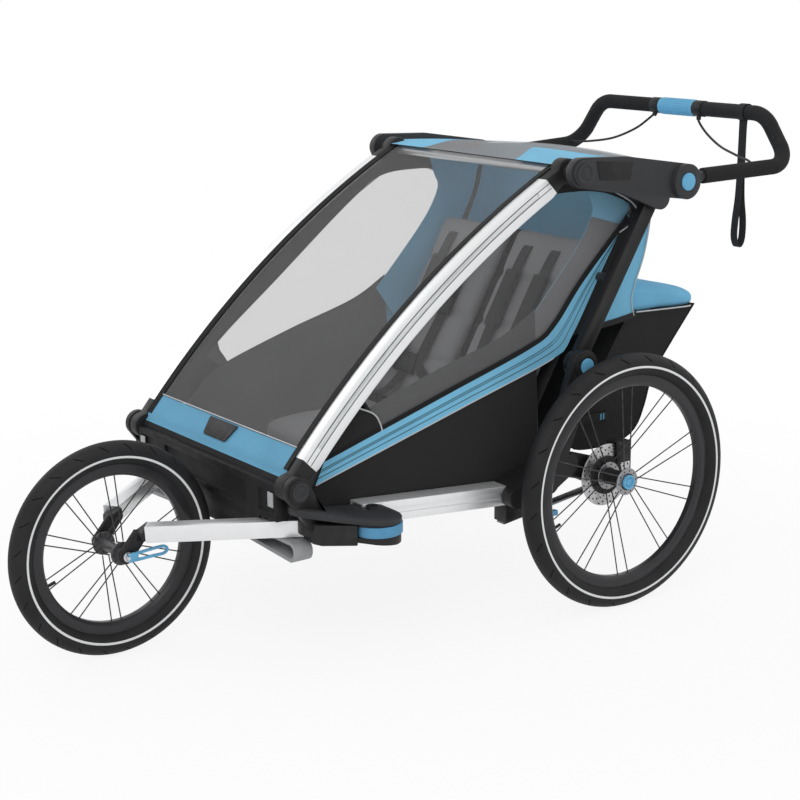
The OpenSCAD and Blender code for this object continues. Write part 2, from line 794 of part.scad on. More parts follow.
// Front wheel
module front_tyre() {
  color([0.12, 0.12, 0.12]) at_axle(0, front_axle_at) tyre(front_r);
}
module front_rim() {
  color([0.2, 0.2, 0.21]) at_axle(0, front_axle_at) rim(front_r);
}
module front_hub() {
  color([0.5, 0.5, 0.52]) difference() {
    union() {
      cross_pin(front_axle_at, -38, 38, 13);
      cross_pin(front_axle_at, -dropout_in + gap, dropout_in - gap, 8);
      for (s = [-1, 1]) cross_pin(front_axle_at, s * 32 - 1.5, s * 32 + 1.5, 23);
      at_axle(0, front_axle_at) spokes(front_r, 19.5, -32, 32);
    }
    cross_pin(front_axle_at, -60, 60, 4.5 + fit);
  }
}

// Rear wheel with brake disc and stub axle
hub_inner = -47;
hub_outer = 7;
module rear_tyre() {
  at_axle(wheel_x, rear_axle) tyre(rear_r);
}
module rear_rim() {
  at_axle(wheel_x, rear_axle) rim(rear_r);
}
module rear_hub() {
  difference() {
    union() {
      cross_pin(rear_axle, swing_in + 4, wheel_x + hub_inner, 8);
      cross_pin(rear_axle, disc_x, wheel_x + hub_inner, 18);
      cross_pin(rear_axle, disc_x, disc_x + 2.2, disc_d / 2);
      cross_pin(rear_axle, wheel_x + hub_inner - 1, wheel_x + hub_outer, 15);
      cross_pin(rear_axle, wheel_x + hub_inner - 1.5, wheel_x + hub_inner + 1.5, 26);
      cross_pin(rear_axle, wheel_x + hub_outer - 3, wheel_x + hub_outer, 26);
      cross_pin(rear_axle, wheel_x + hub_outer - 6, wheel_x + hub_outer + 4, 22);
      at_axle(wheel_x, rear_axle) spokes(rear_r, 23, hub_inner, hub_outer - 1.5);
    }
    cross_pin(rear_axle, wheel_x + hub_outer - 3, wheel_x + hub_outer + 5, 19 + gap);
    for (a = [0 : 60 : 300])
      cross_pin(rear_axle + 40 * [cos(a), sin(a)], disc_x - 1, disc_x + 4, 12);
  }
}
module axle_cap() {
  cross_pin(rear_axle, wheel_x + hub_outer, wheel_x + hub_outer + 7, 19);
}

// Swing arm with the wheel bearing and the brake caliper
module swing_arm() {
  caliper = [22, rear_r + 20];
  caliper_out = disc_x + 9;
  difference() {
    union() {
      side(swing_in, swing_out) link(swing_pivot, 20, rear_axle, 27);
      cross_pin(swing_pivot, swing_out, side_in - gap, boss_r);
      side(swing_out - 8, caliper_out) translate(caliper) square([34, 42]);
      side(swing_out - 8, swing_out) translate(caliper - [14, 14]) square([30, 30]);
    }
    cross_pin(swing_pivot, swing_in - 1, side_in, swing_pin_r + fit);
    cross_pin(rear_axle, swing_in + 4 - gap, swing_out + 1, 8 + fit);
    cross_pin(rear_axle, disc_x - 3, disc_x + 5, disc_d / 2 + 2);
  }
}

module left(c) {
  color(c) children();
}
module right(c) {
  color(c) mirror([1, 0, 0]) children();
}
silver = [0.76, 0.77, 0.79];
black = [0.1, 0.1, 0.11];
blue = [0.24, 0.5, 0.66];
grey = [0.5, 0.51, 0.52];

module base_rail_left() { left(silver) base_rail(); }
module base_rail_right() { right(silver) base_rail(); }
module wing_left() { left(black) wing(); }
module wing_right() { right(black) wing(); }
module bumper_left() { left(grey) bumper(); }
module bumper_right() { right(grey) bumper(); }
module side_wall_left() { left(blue) side_wall(); }
module side_wall_right() { right(blue) side_wall(); }
module jog_arm_left() { left(silver) jog_arm(); }
module jog_arm_right() { right(silver) jog_arm(); }
module side_window_left() { left(grey) side_window(); }
module side_window_right() { right(grey) side_window(); }
module leaf_spring_left() { left(silver) leaf_spring(); }
module leaf_spring_right() { right(silver) leaf_spring(); }
module pillar_left() { left(silver) pillar(); }
module pillar_right() { right(silver) pillar(); }
module console_left() { left(black) console(); }
module console_right() { right(black) console(); }
module strut_left() { left(black) strut(); }
module strut_right() { right(black) strut(); }
module hub_button_left() { left(blue) hub_button(); }
module hub_button_right() { right(blue) hub_button(); }
module fold_button_left() { left(blue) fold_button(); }
module fold_button_right() { right(blue) fold_button(); }
module wing_latch_left() { left(blue) wing_latch(); }
module wing_latch_right() { right(blue) wing_latch(); }
module rear_tyre_left() { left(black) rear_tyre(); }
module rear_tyre_right() { right(black) rear_tyre(); }
module rear_rim_left() { left(grey) rear_rim(); }
module rear_rim_right() { right(grey) rear_rim(); }
module rear_hub_left() { left(grey) rear_hub(); }
module rear_hub_right() { right(grey) rear_hub(); }
module swing_arm_left() { left(black) swing_arm(); }
module swing_arm_right() { right(black) swing_arm(); }
module axle_cap_left() { left(blue) axle_cap(); }
module axle_cap_right() { right(blue) axle_cap(); }

translate([0, shift_y, 0]) {
  base_rail_left();
  base_rail_right();
  wing_left();
  wing_right();
  front_panel();
  bumper_left();
  bumper_right();
  floor_pan();
  rear_frame();
  side_wall_left();
  side_wall_right();
  jog_arm_left();
  jog_arm_right();
  front_axle();
  seat_base();
  seat_back();
  harness();
  side_window_left();
  side_window_right();
  back_panel();
  cargo_bag();
  bag_lid();
  leaf_spring_left();
  leaf_spring_right();
  pillar_left();
  pillar_right();
  roof_bar();
  front_cover();
  console_left();
  console_right();
  roof();
  strut_left();
  strut_right();
  strut_bar();
  handlebar();
  grips();
  brake_housings();
  wrist_strap();
  brake_cables();
  brake_sleeve();
  hub_button_left();
  hub_button_right();
  fold_button_left();
  fold_button_right();
  wing_latch_left();
  wing_latch_right();
  quick_lever();
  front_tyre();
  front_rim();
  front_hub();
  rear_tyre_left();
  rear_tyre_right();
  rear_rim_left();
  rear_rim_right();
  rear_hub_left();
  rear_hub_right();
  swing_arm_left();
  swing_arm_right();
  axle_cap_left();
  axle_cap_right();
}
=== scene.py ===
"""The child bicycle trailer: looks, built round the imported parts, in metres and in their frame."""
import json
import math

import bpy
from mathutils import Matrix, Vector

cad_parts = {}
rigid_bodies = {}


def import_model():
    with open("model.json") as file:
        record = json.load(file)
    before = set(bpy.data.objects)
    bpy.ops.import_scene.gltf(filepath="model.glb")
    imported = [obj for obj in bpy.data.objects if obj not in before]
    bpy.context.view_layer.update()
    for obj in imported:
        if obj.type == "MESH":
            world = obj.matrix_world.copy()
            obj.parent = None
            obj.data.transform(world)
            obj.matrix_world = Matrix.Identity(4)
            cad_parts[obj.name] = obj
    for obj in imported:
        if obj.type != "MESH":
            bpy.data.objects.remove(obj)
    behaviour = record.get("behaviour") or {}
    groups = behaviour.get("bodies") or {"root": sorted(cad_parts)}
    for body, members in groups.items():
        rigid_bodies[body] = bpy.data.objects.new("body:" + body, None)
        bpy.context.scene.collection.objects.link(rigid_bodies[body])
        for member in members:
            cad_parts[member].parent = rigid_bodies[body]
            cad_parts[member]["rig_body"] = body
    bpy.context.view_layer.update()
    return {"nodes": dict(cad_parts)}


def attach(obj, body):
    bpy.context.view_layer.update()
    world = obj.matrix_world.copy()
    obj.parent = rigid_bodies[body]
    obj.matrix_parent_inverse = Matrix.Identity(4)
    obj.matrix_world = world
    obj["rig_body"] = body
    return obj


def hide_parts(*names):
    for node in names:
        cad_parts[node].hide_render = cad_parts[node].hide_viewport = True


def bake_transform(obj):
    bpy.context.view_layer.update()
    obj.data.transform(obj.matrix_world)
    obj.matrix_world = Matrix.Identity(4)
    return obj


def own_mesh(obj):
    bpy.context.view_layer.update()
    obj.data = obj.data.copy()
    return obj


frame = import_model()
scene = bpy.context.scene

# Camera, at the photograph's viewing angle
AZIMUTH = math.radians(54.55)
ELEVATION = math.radians(13.97)
ROLL = math.radians(-0.53)
AIM = Vector((0.118, -0.04625, 0.414))
DISTANCE = 3.306
LENS_MM = 78.3
SENSOR_MM = 36.0

toward = Vector((math.sin(AZIMUTH) * math.cos(ELEVATION), -math.cos(AZIMUTH) * math.cos(ELEVATION),
                 math.sin(ELEVATION)))
level_right = Vector((math.cos(AZIMUTH), math.sin(AZIMUTH), 0.0))
level_up = toward.cross(level_right)
camera_right = level_right * math.cos(ROLL) + level_up * math.sin(ROLL)
camera_up = level_up * math.cos(ROLL) - level_right * math.sin(ROLL)
camera_data = bpy.data.cameras.new("camera")
camera_data.lens = LENS_MM
camera_data.sensor_width = SENSOR_MM
camera = bpy.data.objects.new("camera", camera_data)
scene.collection.objects.link(camera)
facing = Matrix((camera_right, camera_up, toward)).transposed().to_4x4()
camera.matrix_world = Matrix.Translation(AIM + toward * DISTANCE) @ facing
scene.camera = camera

# Places: millimetres from the rear axle, as in the part's source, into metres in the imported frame
AXLE_FROM_MIDDLE = 303.75


def place(x, y, z):
    return Vector((x, y + AXLE_FROM_MIDDLE, z)) / 1000


def from_axle(point):
    """The way back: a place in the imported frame, in millimetres from the rear axle."""
    return point.x * 1000, point.y * 1000 - AXLE_FROM_MIDDLE, point.z * 1000


def clamped(value):
    return min(max(value, 0.0), 1.0)


def steps(low, high, count):
    return [low + (high - low) * i / count for i in range(count + 1)]


def smooth_path(points, count):
    """A smooth line through the points, in a count of steps from each to the next."""
    line = []
    last = len(points) - 1
    for i in range(last):
        before = points[max(i - 1, 0)]
        a = points[i]
        b = points[i + 1]
        after = points[min(i + 2, last)]
        for k in range(count):
            t = k / count
            line.append(tuple(0.5 * (2 * q + (r - p) * t + (2 * p - 5 * q + 4 * r - s) * t * t
                                     + (3 * q - p - 3 * r + s) * t ** 3)
                              for p, q, r, s in zip(before, a, b, after)))
    line.append(tuple(points[last]))
    return line


def even_path(points, count):
    """The same line, with points at even distances."""
    line = [Vector(p) for p in points]
    reach = [0.0]
    for a, b in zip(line, line[1:]):
        reach.append(reach[-1] + (b - a).length)
    found = []
    span = 0
    for i in range(count):
        want = reach[-1] * i / (count - 1)
        while span < len(line) - 2 and reach[span + 1] < want:
            span += 1
        share = (want - reach[span]) / max(reach[span + 1] - reach[span], 1e-9)
        found.append(line[span].lerp(line[span + 1], clamped(share)))
    return found


def path_length(points):
    return sum((Vector(b) - Vector(a)).length for a, b in zip(points, points[1:]))


# Materials: shared effects first
def new_group(name, inputs, outputs):
    group = bpy.data.node_groups.new(name, "ShaderNodeTree")
    for socket, kind, value in inputs:
        made = group.interface.new_socket(socket, in_out="INPUT", socket_type=kind)
        if value is not None:
            made.default_value = value
    for socket, kind in outputs:
        group.interface.new_socket(socket, in_out="OUTPUT", socket_type=kind)
    return group, group.nodes.new("NodeGroupInput"), group.nodes.new("NodeGroupOutput")


def dress(tree, node, values):
    """Gives sockets of a node, by name or number, a number, a colour or another socket to follow."""
    for key, value in values.items():
        socket = node.inputs[key]
        if isinstance(value, (int, float)):
            socket.default_value = value
        elif isinstance(value, tuple):
            socket.default_value = (*value, 1.0)
        else:
            tree.links.new(value, socket)


def calc(tree, operation, *values):
    """A Math node, each value a number or a socket."""
    node = tree.nodes.new("ShaderNodeMath")
    node.operation = operation
    dress(tree, node, dict(enumerate(values)))
    return node.outputs[0]


def ramp(tree, value, low, high, to_low=0.0, to_high=1.0):
    """A smooth step of a value between two limits."""
    node = tree.nodes.new("ShaderNodeMapRange")
    node.interpolation_type = "SMOOTHSTEP"
    dress(tree, node, {"Value": value, "From Min": low, "From Max": high, "To Min": to_low,
                       "To Max": to_high})
    return node.outputs[0]


def noise(tree, vector, scale, detail=4.0):
    node = tree.nodes.new("ShaderNodeTexNoise")
    dress(tree, node, {"Vector": vector, "Scale": scale, "Detail": detail})
    return node.outputs["Fac"]


def split(tree, vector):
    node = tree.nodes.new("ShaderNodeSeparateXYZ")
    tree.links.new(vector, node.inputs[0])
    return node.outputs


def make_grain():
    """Moulded grain: fine bumps, and slow changes of shade."""
    group, given, out = new_group(
        "moulded grain", [("Vector", "NodeSocketVector", None), ("Fineness", "NodeSocketFloat", 900.0)],
        [("Shade", "NodeSocketFloat"), ("Height", "NodeSocketFloat")])
    fine = noise(group, given.outputs["Vector"], given.outputs["Fineness"], 2.0)
    slow = noise(group, given.outputs["Vector"], 14.0, 3.0)
    shade = calc(group, "ADD", calc(group, "MULTIPLY", slow, 0.75), calc(group, "MULTIPLY", fine, 0.25))
    group.links.new(ramp(group, shade, 0.3, 0.7), out.inputs["Shade"])
    group.links.new(fine, out.inputs["Height"])
    return group


def make_edge_wear_and_highlight():
    """Lighter outer edges of a moulding or a tube, in patches: partly wear, partly a painted highlight along
    the edges.
    """
    group, given, out = new_group("edge wear and painted highlight", [("Vector", "NodeSocketVector", None)],
                                  [("Wear And Highlight", "NodeSocketFloat")])
    # Pointiness lightens the sharp edges: a painted highlight, broken into worn-looking patches.
    edge = group.nodes.new("ShaderNodeNewGeometry").outputs["Pointiness"]
    patch = ramp(group, noise(group, given.outputs["Vector"], 60.0, 5.0), 0.42, 0.68)
    group.links.new(calc(group, "MULTIPLY", ramp(group, edge, 0.52, 0.6), patch), out.inputs["Wear And Highlight"])
    return group


def make_weave():
    """Plain weave of warp and weft at a pitch, over a flat direction pair."""
    group, given, out = new_group(
        "plain weave", [("Along", "NodeSocketFloat", 0.0), ("Across", "NodeSocketFloat", 0.0),
                        ("Pitch", "NodeSocketFloat", 0.0012)],
        [("Thread", "NodeSocketFloat"), ("Height", "NodeSocketFloat")])
    turn = calc(group, "DIVIDE", 2 * math.pi, given.outputs["Pitch"])
    warp = calc(group, "SINE", calc(group, "MULTIPLY", given.outputs["Along"], turn))
    weft = calc(group, "SINE", calc(group, "MULTIPLY", given.outputs["Across"], turn))
    over = calc(group, "MULTIPLY", warp, weft)
    group.links.new(calc(group, "MULTIPLY_ADD", over, 0.5, 0.5), out.inputs["Height"])
    group.links.new(ramp(group, over, -0.6, 0.6), out.inputs["Thread"])
    return group


def make_brush():
    """Drawn metal: long fine streaks along one direction."""
    group, given, out = new_group("drawn streaks", [("Vector", "NodeSocketVector", None)],
                                  [("Streak", "NodeSocketFloat"), ("Cloud", "NodeSocketFloat")])
    group.links.new(noise(group, given.outputs["Vector"], 1.0, 3.0), out.inputs["Streak"])
    group.links.new(noise(group, given.outputs["Vector"], 0.06, 3.0), out.inputs["Cloud"])
    return group


GRAIN = make_grain()
EDGE_WEAR_AND_HIGHLIGHT = make_edge_wear_and_highlight()
WEAVE = make_weave()
BRUSH = make_brush()


def use(tree, group, **values):
    node = tree.nodes.new("ShaderNodeGroup")
    node.node_tree = group
    dress(tree, node, values)
    return node.outputs


def blank(name):
    """A new material with its node tree, its shader and its coordinates."""
    material = bpy.data.materials.new(name)
    material.use_nodes = True
    tree = material.node_tree
    return material, tree, tree.nodes["Principled BSDF"], tree.nodes.new("ShaderNodeTexCoord").outputs


def between(tree, share, low, high):
    """A colour between two, by a share."""
    node = tree.nodes.new("ShaderNodeMix")
    node.data_type = "RGBA"
    dress(tree, node, {0: share, 6: low, 7: high})
    return node.outputs[2]


def bump(tree, shader, height, strength, depth):
    node = tree.nodes.new("ShaderNodeBump")
    dress(tree, node, {"Strength": strength, "Distance": depth, "Height": height})
    tree.links.new(node.outputs[0], shader.inputs["Normal"])


def scaled(colour, share):
    return tuple(min(c * share, 1.0) for c in colour)


def moulded(name, colour, roughness=0.5, fineness=900.0, wear_and_highlight_gain=2.2, grain=0.25):
    """Moulded plastic or a painted casting: grain, a little unevenness, and lighter edges that are partly
    wear and partly a painted highlight.
    """
    material, tree, shader, where = blank(name)
    grain_out = use(tree, GRAIN, Vector=where["Object"], Fineness=fineness)
    wear_and_highlight_out = use(tree, EDGE_WEAR_AND_HIGHLIGHT, Vector=where["Object"])
    base = between(tree, grain_out["Shade"], scaled(colour, 0.88), scaled(colour, 1.12))
    # Edge colour: lighter for wear and for a painted highlight on the edges.
    worn_and_highlit = tuple(min(c * wear_and_highlight_gain + 0.01, 1.0) for c in colour)
    dress(tree, shader, {
        "Base Color": between(tree, wear_and_highlight_out["Wear And Highlight"], base, worn_and_highlit),
        "Roughness": ramp(tree, grain_out["Shade"], 0.0, 1.0, roughness - 0.06, roughness + 0.08),
        "Specular IOR Level": 0.25})
    bump(tree, shader, grain_out["Height"], grain, 0.0003)
    return material


def drawn_metal(name, colour, roughness, stretch, metallic=1.0):
    """Anodised or polished metal with fine streaks along one direction, and edges a little lighter: partly
    wear, partly a painted highlight.
    """
    material, tree, shader, where = blank(name)
    mapping = tree.nodes.new("ShaderNodeMapping")
    mapping.inputs["Scale"].default_value = stretch
    tree.links.new(where["Object"], mapping.inputs["Vector"])
    streaks = use(tree, BRUSH, Vector=mapping.outputs[0])
    wear_and_highlight_out = use(tree, EDGE_WEAR_AND_HIGHLIGHT, Vector=where["Object"])
    base = between(tree, streaks["Streak"], scaled(colour, 0.97), scaled(colour, 1.03))
    # The edges are a little lighter: wear, and a painted highlight.
    dress(tree, shader, {
        "Base Color": between(tree, wear_and_highlight_out["Wear And Highlight"], base, scaled(colour, 1.03)),
        "Roughness": ramp(tree, streaks["Streak"], 0.25, 0.75, roughness - 0.02, roughness + 0.03),
        "Metallic": metallic})
    bump(tree, shader, streaks["Streak"], 0.015, 0.0001)
    return material


def woven(tree, where, by_uv, pitch):
    """A weave along the cloth: over its own UV map, in metres, or a slanted pair of Object directions."""
    axes = split(tree, where["UV" if by_uv else "Object"])
    across = axes[1] if by_uv else calc(tree, "ADD", axes[1], axes[2])
    return use(tree, WEAVE, Along=axes[0], Across=across, Pitch=pitch)


def cloth(name, colour, pitch=0.0014, roughness=0.85, by_uv=True, weave_depth=0.0004):
    """Woven cover cloth."""
    material, tree, shader, where = blank(name)
    weave = woven(tree, where, by_uv, pitch)
    slow = noise(tree, where["Object"], 9.0, 4.0)
    tone = between(tree, ramp(tree, slow, 0.3, 0.7), scaled(colour, 0.9), scaled(colour, 1.08))
    dress(tree, shader, {
        "Base Color": between(tree, weave["Thread"], scaled(colour, 0.87), tone),
        "Roughness": ramp(tree, slow, 0.3, 0.7, roughness - 0.06, min(roughness + 0.06, 1.0)),
        "Specular IOR Level": 0.15, "Sheen Weight": 0.08, "Sheen Roughness": 0.5})
    wrinkle = noise(tree, where["Object"], 18.0, 2.0)
    height = calc(tree, "ADD", calc(tree, "MULTIPLY", weave["Height"], weave_depth),
                  calc(tree, "MULTIPLY", wrinkle, 0.0012))
    bump(tree, shader, height, 0.7, 1.0)
    return material


def see_through(name, colour, cover):
    """Open mesh cloth: threads that cover a share of what is behind."""
    material, tree, shader, where = blank(name)
    weave = woven(tree, where, True, 0.0022)
    slow = noise(tree, where["Object"], 7.0, 3.0)
    tone = between(tree, ramp(tree, slow, 0.3, 0.7), scaled(colour, 0.92), scaled(colour, 1.08))
    dress(tree, shader, {
        "Base Color": between(tree, weave["Thread"], scaled(colour, 0.85), tone),
        "Alpha": ramp(tree, weave["Height"], 0.0, 1.0, max(cover - 0.12, 0.0), cover + 0.12),
        "Roughness": ramp(tree, slow, 0.3, 0.7, 0.8, 0.92)})
    bump(tree, shader, weave["Height"], 0.3, 0.0004)
    return material


BLUE = (0.15, 0.415, 0.62)
# A copy of BLUE made lighter, as painted light: the roof sides, side bands, rear linings, back panel and
# gussets are the same blue cloth as the cover's foot band.
PAINTED_LIT_BLUE = (0.225, 0.59, 0.84)
along_x = (5.0, 700.0, 700.0)
along_y = (700.0, 5.0, 700.0)

silver = drawn_metal("drawn_aluminium", (0.8, 0.81, 0.82), 0.4, along_y, 0.7)
silver_cross = drawn_metal("drawn_aluminium_cross", (0.78, 0.79, 0.8), 0.4, along_x, 0.7)
steel = drawn_metal("bright_steel", (0.62, 0.63, 0.64), 0.28, (300.0, 300.0, 300.0))
spring_steel = drawn_metal("spring_steel", (0.2, 0.2, 0.21), 0.42, along_y)
bar_coat = moulded("bar_coating", (0.03, 0.031, 0.034), 0.42, 1400.0)
casting = moulded("black_casting", (0.015, 0.015, 0.016), 0.46, 1100.0)
black = moulded("black_moulding", (0.012, 0.012, 0.013), 0.5, 800.0)
dark = moulded("dark_moulding", (0.03, 0.031, 0.034), 0.48, 700.0)
rim_coat = moulded("rim_coating", (0.031, 0.031, 0.034), 0.32, 1500.0)
grey = moulded("grey_moulding", (0.3, 0.31, 0.32), 0.5, 700.0, 1.4)
pale_lens = moulded("pale_lens", (0.36, 0.37, 0.38), 0.25, 300.0, 1.1, 0.6)
blue_part = moulded("blue_moulding", (0.135, 0.41, 0.64), 0.42, 700.0, 1.4)
latch_blue = moulded("latch_moulding", (0.085, 0.27, 0.45), 0.42, 700.0, 1.4)
red_lens = moulded("red_lens", (0.22, 0.02, 0.015), 0.2, 300.0, 1.1, 0.6)
panel_black = moulded("panel_moulding", (0.005, 0.005, 0.006), 0.62, 800.0, 1.6)
foam = moulded("grip_foam", (0.019, 0.019, 0.02), 0.9, 420.0, 1.3, 0.9)
sleeve_blue = moulded("sleeve_rubber", (0.145, 0.42, 0.64), 0.6, 500.0, 1.4)
cable_skin = moulded("cable_skin", (0.014, 0.014, 0.015), 0.5, 1500.0)
blue_cloth = cloth("blue_cover_cloth", BLUE)
# Painted light: the same blue cloth, lighter.
painted_lit_cloth = cloth("bright_cover_cloth", PAINTED_LIT_BLUE)
black_cloth = cloth("black_cover_cloth", (0.02, 0.02, 0.021))
binding = cloth("black_binding", (0.01, 0.01, 0.011), 0.0018, 0.8)
floor_cloth = cloth("floor_cloth", (0.016, 0.016, 0.017), 0.0016)
seat_cloth = cloth("seat_cloth", (0.29, 0.295, 0.305), 0.0024, 0.9, by_uv=False, weave_depth=0.0005)
seat_side_cloth = cloth("seat_side_cloth", (0.2, 0.203, 0.21), 0.0024, 0.9)
lining_cloth = cloth("lining_cloth", (0.085, 0.086, 0.09), 0.002)
# The lid's blue is BLUE made 1.2 times lighter: painted light on its upward top.
painted_lit_lid_cloth = cloth("painted_lit_lid_cloth", scaled(BLUE, 1.2), 0.0016, by_uv=False)
webbing = cloth("strap_webbing", (0.02, 0.02, 0.022), 0.0016, 0.75, weave_depth=0.0006)
piping_cord = cloth("pale_piping", (0.62, 0.64, 0.66), 0.0016, 0.6, by_uv=False)
cover_mesh = see_through("cover_mesh", (0.33, 0.33, 0.335), 0.29)
window_mesh = see_through("window_mesh", (0.3, 0.3, 0.305), 0.24)
roof_mesh = see_through("roof_mesh", (0.42, 0.425, 0.43), 0.5)


# Making pieces
SIDES = (("left", 1), ("right", -1))


def only(piece):
    bpy.ops.object.select_all(action="DESELECT")
    piece.select_set(True)
    bpy.context.view_layer.objects.active = piece


def edit_mode():
    bpy.ops.object.mode_set(mode="EDIT")


def object_mode():
    bpy.ops.object.mode_set(mode="OBJECT")


def select_all():
    bpy.ops.mesh.select_all(action="SELECT")


def turn_outwards():
    select_all()
    bpy.ops.mesh.normals_make_consistent(inside=False)


def apply_place():
    bpy.ops.object.transform_apply(location=True, rotation=True, scale=True)


def smooth(angle):
    bpy.ops.object.shade_smooth_by_angle(angle=math.radians(angle))


def pick(piece, chosen):
    """Edit mode, with the chosen faces selected."""
    only(piece)
    edit_mode()
    bpy.ops.mesh.select_mode(type="FACE")
    bpy.ops.mesh.select_all(action="DESELECT")
    object_mode()
    for face in piece.data.polygons:
        face.select = chosen(face)
    edit_mode()


def modify(piece, kind, **settings):
    """Adds a modifier with its settings, and applies it."""
    only(piece)
    step = piece.modifiers.new(kind.lower(), kind)
    for setting, value in settings.items():
        setattr(step, setting, value)
    bpy.ops.object.modifier_apply(modifier=step.name)


def shape(add, name, **settings):
    """A new primitive under a name, with its place and turn kept in its mesh."""
    bpy.ops.object.select_all(action="DESELECT")
    add(**settings)
    piece = bpy.context.object
    piece.name = name
    apply_place()
    return piece


def flat_shape(name, corners):
    """One flat face through its corners, in millimetres, left open in edit mode."""
    piece = shape(bpy.ops.mesh.primitive_circle_add, name, vertices=len(corners), radius=0.05,
                  fill_type="NGON")
    for vertex, corner in zip(piece.data.vertices, corners):
        vertex.co = place(*corner)
    edit_mode()
    select_all()
    return piece


def extrude(x, y, z):
    """Draws the selected faces out, in millimetres."""
    bpy.ops.mesh.extrude_region_move(TRANSFORM_OT_translate={"value": (x / 1000, y / 1000, z / 1000)})


def finish(piece, body, materials=None, stands_for=()):
    """Material, slot, place and body of a finished piece."""
    if materials:
        chosen = [face.material_index for face in piece.data.polygons] if piece.type == "MESH" else []
        piece.data.materials.clear()
        for material in materials if isinstance(materials, (list, tuple)) else [materials]:
            piece.data.materials.append(material)
        for face, index in zip(piece.data.polygons if chosen else (), chosen):
            face.material_index = index
    if stands_for:
        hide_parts(*([stands_for] if isinstance(stands_for, str) else stands_for))
    if body:
        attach(piece, body)
    return piece


def copy_of(node, name):
    """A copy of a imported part's mesh, with its points merged and its flat faces joined."""
    piece = bpy.data.objects.new(name, frame["nodes"][node].data.copy())
    scene.collection.objects.link(piece)
    only(piece)
    bpy.ops.mesh.customdata_custom_splitnormals_clear()
    edit_mode()
    select_all()
    bpy.ops.mesh.remove_doubles(threshold=0.00001)
    bpy.ops.mesh.dissolve_limited(angle_limit=math.radians(0.6))
    object_mode()
    return piece


def round_edges(piece, width, segments=2, angle=38.0):
    """Rounds the sharp edges by a width in millimetres, if it is given one, and smooths the rest."""
    only(piece)
    if width:
        modify(piece, "BEVEL", width=width / 1000, segments=segments, limit_method="ANGLE",
               angle_limit=math.radians(angle), use_clamp_overlap=True)
    smooth(33)
    return piece


def softened(node, width, material):
    """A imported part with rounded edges, in place of the sharp one."""
    piece = round_edges(copy_of(node, node + "_shell"), width)
    return finish(piece, frame["nodes"][node]["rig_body"], material, node)


def on_leaf(piece):
    """A piece of a leaf spring, with its place baked into its mesh."""
    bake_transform(piece)


def wire(name, points, radius, sides=3):
    """A round cord along points in millimetres, as a curve."""
    data = bpy.data.curves.new(name, "CURVE")
    data.dimensions = "3D"
    data.bevel_depth = radius / 1000
    data.bevel_resolution = sides
    data.use_fill_caps = True
    line = data.splines.new("POLY")
    line.points.add(len(points) - 1)
    for spot, p in zip(line.points, points):
        spot.co = (*place(*p), 1.0)
    piece = bpy.data.objects.new(name, data)
    scene.collection.objects.link(piece)
    return piece


for side, sign in SIDES:
    for node, width, material, slot in (
            ("base_rail_", 2.5, silver, "silver_tube"), ("console_", 2.0, dark, "dark_plastic"),
            ("strut_", 1.5, black, "black_plastic"), ("bumper_", 1.5, grey, "grey_plastic"),
            ("swing_arm_", 2.0, casting, "black_casting"), ("hub_button_", 1.5, blue_part, "blue_plastic"),
            ("fold_button_", 1.5, blue_part, "blue_plastic"),
            ("wing_latch_", 1.0, latch_blue, "blue_plastic"), ("rear_rim_", 0.6, rim_coat, "rim")):
        softened(node + side, width, material)
    leaf = "leaf_spring_" + side
    spring = round_edges(copy_of(leaf, leaf + "_shell"), 0.5)
    on_leaf(finish(spring, None, spring_steel, leaf))
softened("rear_frame", 1.5, casting)
softened("front_panel", 2.0, panel_black)
softened("front_rim", 0.6, rim_coat)
softened("grips", 1.5, foam)
softened("brake_housings", 1.5, black)
softened("handlebar", 0, bar_coat)
softened("roof_bar", 0, silver_cross)
softened("strut_bar", 0, bar_coat)
softened("front_axle", 0.5, steel)

# Brake cables: two cords from the sleeve housings into the handlebar hubs
BAR_Y = 479.0
BAR_Z = 915.0
cable_routes = (
    ("left", [(64, -6, -14), (74, -14, -26), (110, -26, -48), (170, -48, -68), (240, -76, -78),
              (295, -96, -84), (312, -100, -92)]),
    ("right", [(-64, -6, -14), (-74, -14, -26), (-110, -24, -52), (-170, -34, -76), (-240, -40, -88),
               (-290, -44, -92), (-311, -46, -94)]))
CABLE_R = 2.5
for side, route in cable_routes:
    route = [(x, BAR_Y + y, BAR_Z + z) for x, y, z in smooth_path(route, 6)]
    line = [place(*p) for p in route]
    cable = wire("brake_cable_" + side, route, CABLE_R)
    finish(cable, "handlebar", cable_skin, "brake_cables")

# Wings: the knuckle of the pillar's foot, and a moulded hood over the arm's socket
FOOT = Vector((-695.0, 340.0))
KNUCKLE_OUT = 300.0
LOBE_OUT = 327.0
KNUCKLE_SHARE = 0.84
LATCH_MIDDLE = (341.0, -560.0)
LATCH_R = 43.6
HOOD_Z = 274.0


